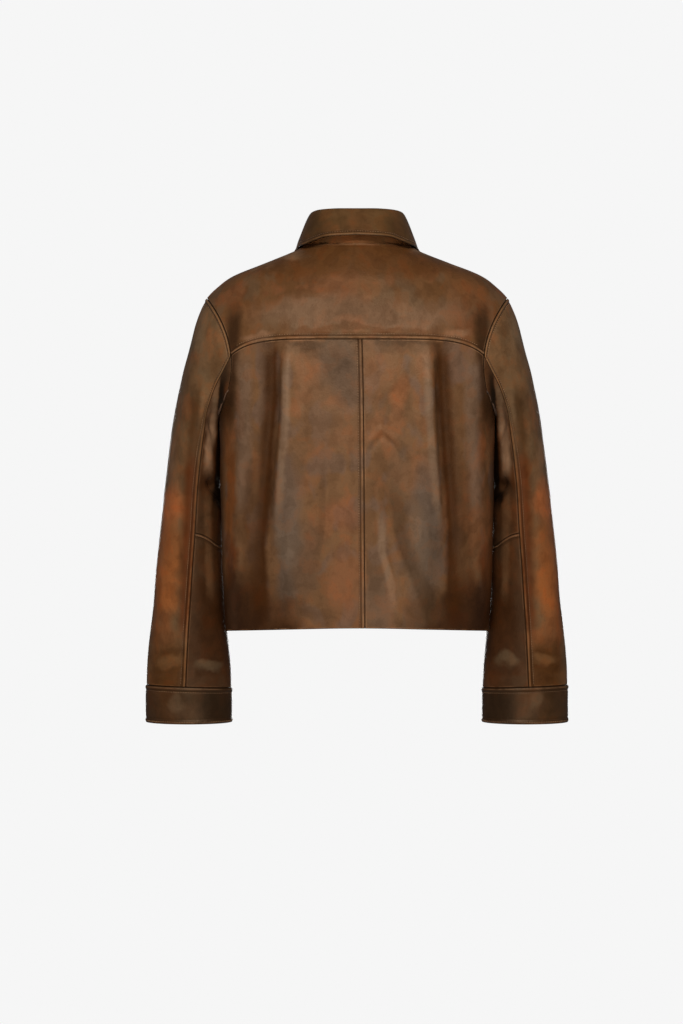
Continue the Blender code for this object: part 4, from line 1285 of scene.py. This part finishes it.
SLEEVE_PIECES = (
    ("upper_sleeve", upper_sleeve, 205, 0.0, 2.0, 600, UPPER_CREASES, upper_finish, "leather_sleeve",
     {"first": "lapped", "last": "plain", "top": "lapped", "foot": "plain"}, (0.25, 0.62), 0.119),
    ("under_sleeve_top", under_sleeve, 118, 0.0, 1.0, 250, UNDER_CREASES, under_finish, "leather_sleeve",
     {"first": "plain", "last": "plain", "top": "plain", "foot": "plain"}, (0.14, 0.29), 0.0283),
    ("under_sleeve_lower", under_sleeve, 112, 1.0, 2.0, 230, UNDER_CREASES, under_finish, "leather_dark",
     {"first": "plain", "last": "plain", "top": "lapped", "foot": "plain"}, (0.13, 0.23), 0.0268),
)
ELBOW_STITCH_INSET = 3.2
sleeves = {}
for label, side in (("left", -1), ("right", 1)):
    for kind, surface, width, start, end, length, creases, finish, slot, seams, flat, area in SLEEVE_PIECES:
        piece = CutPiece(
            f"{kind}_{label}_cloth", f"{kind}_{label}", surface(side), shares(width),
            shares(length, start, end), seams, inside_sleeve(side), creases, 0.8,
            flat_across=round_sleeve(side), tuck=TUCK_UNDER,
        )
        piece.dress(finish)
        sleeves[kind, label] = piece
    sew(f"sleeve_stitching_{label}", [
        (sleeves["upper_sleeve", label], "first", STITCH_INSET),
        (sleeves["upper_sleeve", label], "top", STITCH_INSET),
        (sleeves["under_sleeve_lower", label], "top", ELBOW_STITCH_INSET, 0.0, 0.6),
    ])

# Cuffs. Each is a band of darker hide, folded double, round the sleeve's end. It is stitched through the
# sleeve along its top edge, and again just above the fold at its foot.

DOUBLE_WALL = 2.8
CUFF_DEPTH = 52.5
CUFF_PROUD = 1.1
CUFF_DROP = 1.6


def cuff_surface(side):
    """Cuff: u once round, v from the sleeve's end down to the cuff's edge."""

    def surface(u, v):
        turn = 2 * math.pi * u
        x, y, z = sleeve_point(turn, LAST_RING, CUFF_PROUD, drop=2 * SEAM_SETBACK)
        level = mix(z, (SLEEVE[-1].outer_z + SLEEVE[-1].inner_z) / 2, v)
        return (side * x, y, level - CUFF_DEPTH * v - CUFF_DROP * v * max(0.0, math.sin(turn)))

    return surface


CUFF_PATCHES = both_sides((
    Patch(245, -660, 40, 14, tone(74, 50, 32), 0.6),
    Patch(296, -660, 14, 30, tone(50, 33, 20), 0.6),
    # Painted shade over the cuff's inner side, beside the body.
    Patch(205, -662, 32, 70, tone(34, 20, 9), 0.9),
    Patch(262, -650, 12, 14, tone(88, 66, 46), 0.6),
))
CUFF_STITCH_INSET = 3.4
cuff_finish = leather("leather_cuff", tone(60, 39, 21), tone(45, 28, 14), tone(72, 43, 22),
                      tone(62, 44, 28), CUFF_PATCHES, wear_and_highlight=tone(112, 78, 52), gloss=0.42, ridge_lightening=0.4)
for label, side in (("left", -1), ("right", 1)):
    cuff = CutPiece(
        f"cuff_{label}_cloth", f"cuff_{label}", cuff_surface(side),
        shares(302, seam_first=False, seam_last=False), shares(50), {"top": "lapped", "foot": "lapped"},
        inside_sleeve(side), (), 0.5, DOUBLE_WALL, True, tuck=CUFF_PROUD + TUCK_UNDER,
    )
    cuff.dress(cuff_finish)
    sew(f"cuff_stitching_{label}", [
        (cuff, "top", STITCH_INSET),
        (cuff, "foot", CUFF_STITCH_INSET),
    ])

# Collar. A stand of hide rises from the neck seam, and the fall turns over it in a soft roll and lies on
# the yoke. Both are doubled; the fall is stitched round its outer edge.

Station = namedtuple("Station", "turn fold_x fold_y fold_z edge_x edge_y edge_z")
COLLAR = (
    Station(0, 0, -56, 53.0, 0, -84, 14),
    Station(30, 33, -53, 53.0, 45, -79, 11.5),
    Station(60, 58, -33, 52.0, 78, -49, 4),
    Station(90, 65, 4, 48.0, 89, 2, 2.5),
    Station(120, 57.5, 44, 31.0, 99, 52, -15),
    Station(150, 36, 74, -8.0, 88, 83, -58),
    Station(180, 4, 89, -47.0, 62, 104, -105),
)
COLLAR_END = 178.0
FOLD_RISE = 9.0
FOLD_ROLL = 5.0
STAND_TUCK = 0.5
NECK_TUCK_IN = 3.4
NECK_TUCK_DOWN = 3.0
collar_form = Table(COLLAR, [row.turn for row in COLLAR])


def neck_point(turn):
    """Point on the neck seam."""
    if abs(turn) <= math.pi / 2:
        return back_point(turn, NECK)
    drop = front_drop(2 - abs(turn) / (math.pi / 2))
    return trunk_point(turn, mix(LEVELS[NECK].front_middle, LEVELS[NECK].side, drop))


def collar_station(turn, kind):
    """Point of the collar's fold line or outer edge at a turn in degrees, negative on the left."""
    size = abs(turn)
    x = math.copysign(collar_form.value(kind + "_x", size), turn)
    return Vector((x, collar_form.value(kind + "_y", size), collar_form.value(kind + "_z", size)))


def stand_surface(u, v):
    """Stand: u from the left front end round the back to the right one, v from fold to neck seam."""
    turn = mix(-COLLAR_END, COLLAR_END, u)
    top = collar_station(turn, "fold") - Vector((0, 0, STAND_TUCK))
    foot = Vector(neck_point(math.radians(turn)))
    inward = Vector((foot.x, foot.y, 0)).normalized() * NECK_TUCK_IN
    return tuple(top.lerp(foot - inward - Vector((0, 0, NECK_TUCK_DOWN)), v))


def fall_surface(u, v):
    """Fall: u as in the stand, v from the fold over its roll to the outer edge."""
    turn = mix(-COLLAR_END, COLLAR_END, u)
    fold = collar_station(turn, "fold")
    along = collar_station(turn + 1, "fold") - collar_station(turn - 1, "fold")
    away = Vector((along.y, -along.x, 0)).normalized()
    top = fold + away * FOLD_ROLL + Vector((0, 0, FOLD_RISE))
    edge = collar_station(turn, "edge")
    return tuple(fold * (1 - v) ** 2 + top * (2 * v * (1 - v)) + edge * v * v)


def inside_collar(points):
    """The collar's hollow: one place below the middle of the neck."""
    return np.zeros_like(points) - (0.0, 0.0, HOLLOW_DROP)


COLLAR_PATCHES = (
    Patch(0, 46, 60, 12, tone(98, 68, 40), 0.5),
    Patch(-60, 24, 20, 30, tone(64, 43, 23), 0.6),
    Patch(60, 24, 20, 30, tone(64, 43, 23), 0.6),
    Patch(2, 24, 24, 26, tone(90, 57, 30), 0.6),
)
fall_finish = leather("leather_fall", tone(86, 59, 32), tone(66, 43, 21), tone(96, 61, 33),
                      tone(78, 58, 35), COLLAR_PATCHES, wear_and_highlight=tone(120, 84, 54), ridge_lightening=0.5)
# Painted light: the stand is coloured far lighter than the fall, so the strip showing in the fall's shadow
# reads as lit; its one patch darkens it at the front of the neck.
stand_lit_finish = leather("leather_stand_lit", tone(156, 102, 58), tone(122, 78, 43), tone(164, 102, 58),
                       tone(136, 96, 60), (Patch(0, -90, 90, 80, tone(76, 50, 28), 1.0),), gloss=0.55)
stand = CutPiece(
    "collar_stand_cloth", "collar_stand", stand_surface, shares(430), shares(46),
    {"top": "free", "foot": "free", "first": "free", "last": "free"},
    lambda points: points * (0.5, 0.5, 1.0), (), 0.3,
)
FALL_CREASES = (
    Crease(((-102, -24), (-88, 2), (-74, 5), (-52, 10)), 9, -2.2),
    Crease(((102, -24), (88, 2), (74, 5), (52, 10)), 9, -2.2),
)
fall = CutPiece(
    "collar_fall_cloth", "collar_fall", fall_surface, shares(470), shares(64),
    {"top": "free", "foot": "lapped", "first": "lapped", "last": "lapped"}, inside_collar, FALL_CREASES,
    0.6, DOUBLE_WALL,
)
for piece, finish, slot, flat, area in (
    (stand, stand_lit_finish, "leather_dark", (0.45, 0.056), 0.0217),
    (fall, fall_finish, "leather_collar", (0.50, 0.078), 0.033),
):
    piece.dress(finish)
sew("collar_stitching", [
    (fall, "foot", STITCH_INSET - 1.0, 0.02, 0.98),
])

# Buttons. Five plain round buttons of dark horn-like plastic are sewn to the right front. Each passes
# through a buttonhole in the left front and holds it shut.

BUTTON_COUNT = 5
horn, horn_shader, horn_place = new_finish("horn")
cloudy = cloud(horn_place, 0.006, 3.0)
streaky = cloud(horn_place, 0.0012, 2.0)
horn_colour = cloudy.rise(0.35, 0.65).pair(tone(38, 25, 16), tone(70, 48, 31))
horn_colour = horn_colour.blend(tone(28, 18, 12), streaky.rise(0.5, 0.7, 0.0, 0.6))
connect(horn_shader, horn_colour, 0.28 + cloudy * 0.18)
for number in range(1, BUTTON_COUNT + 1):
    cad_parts[f"button_{number}"].material_slots[0].material = horn
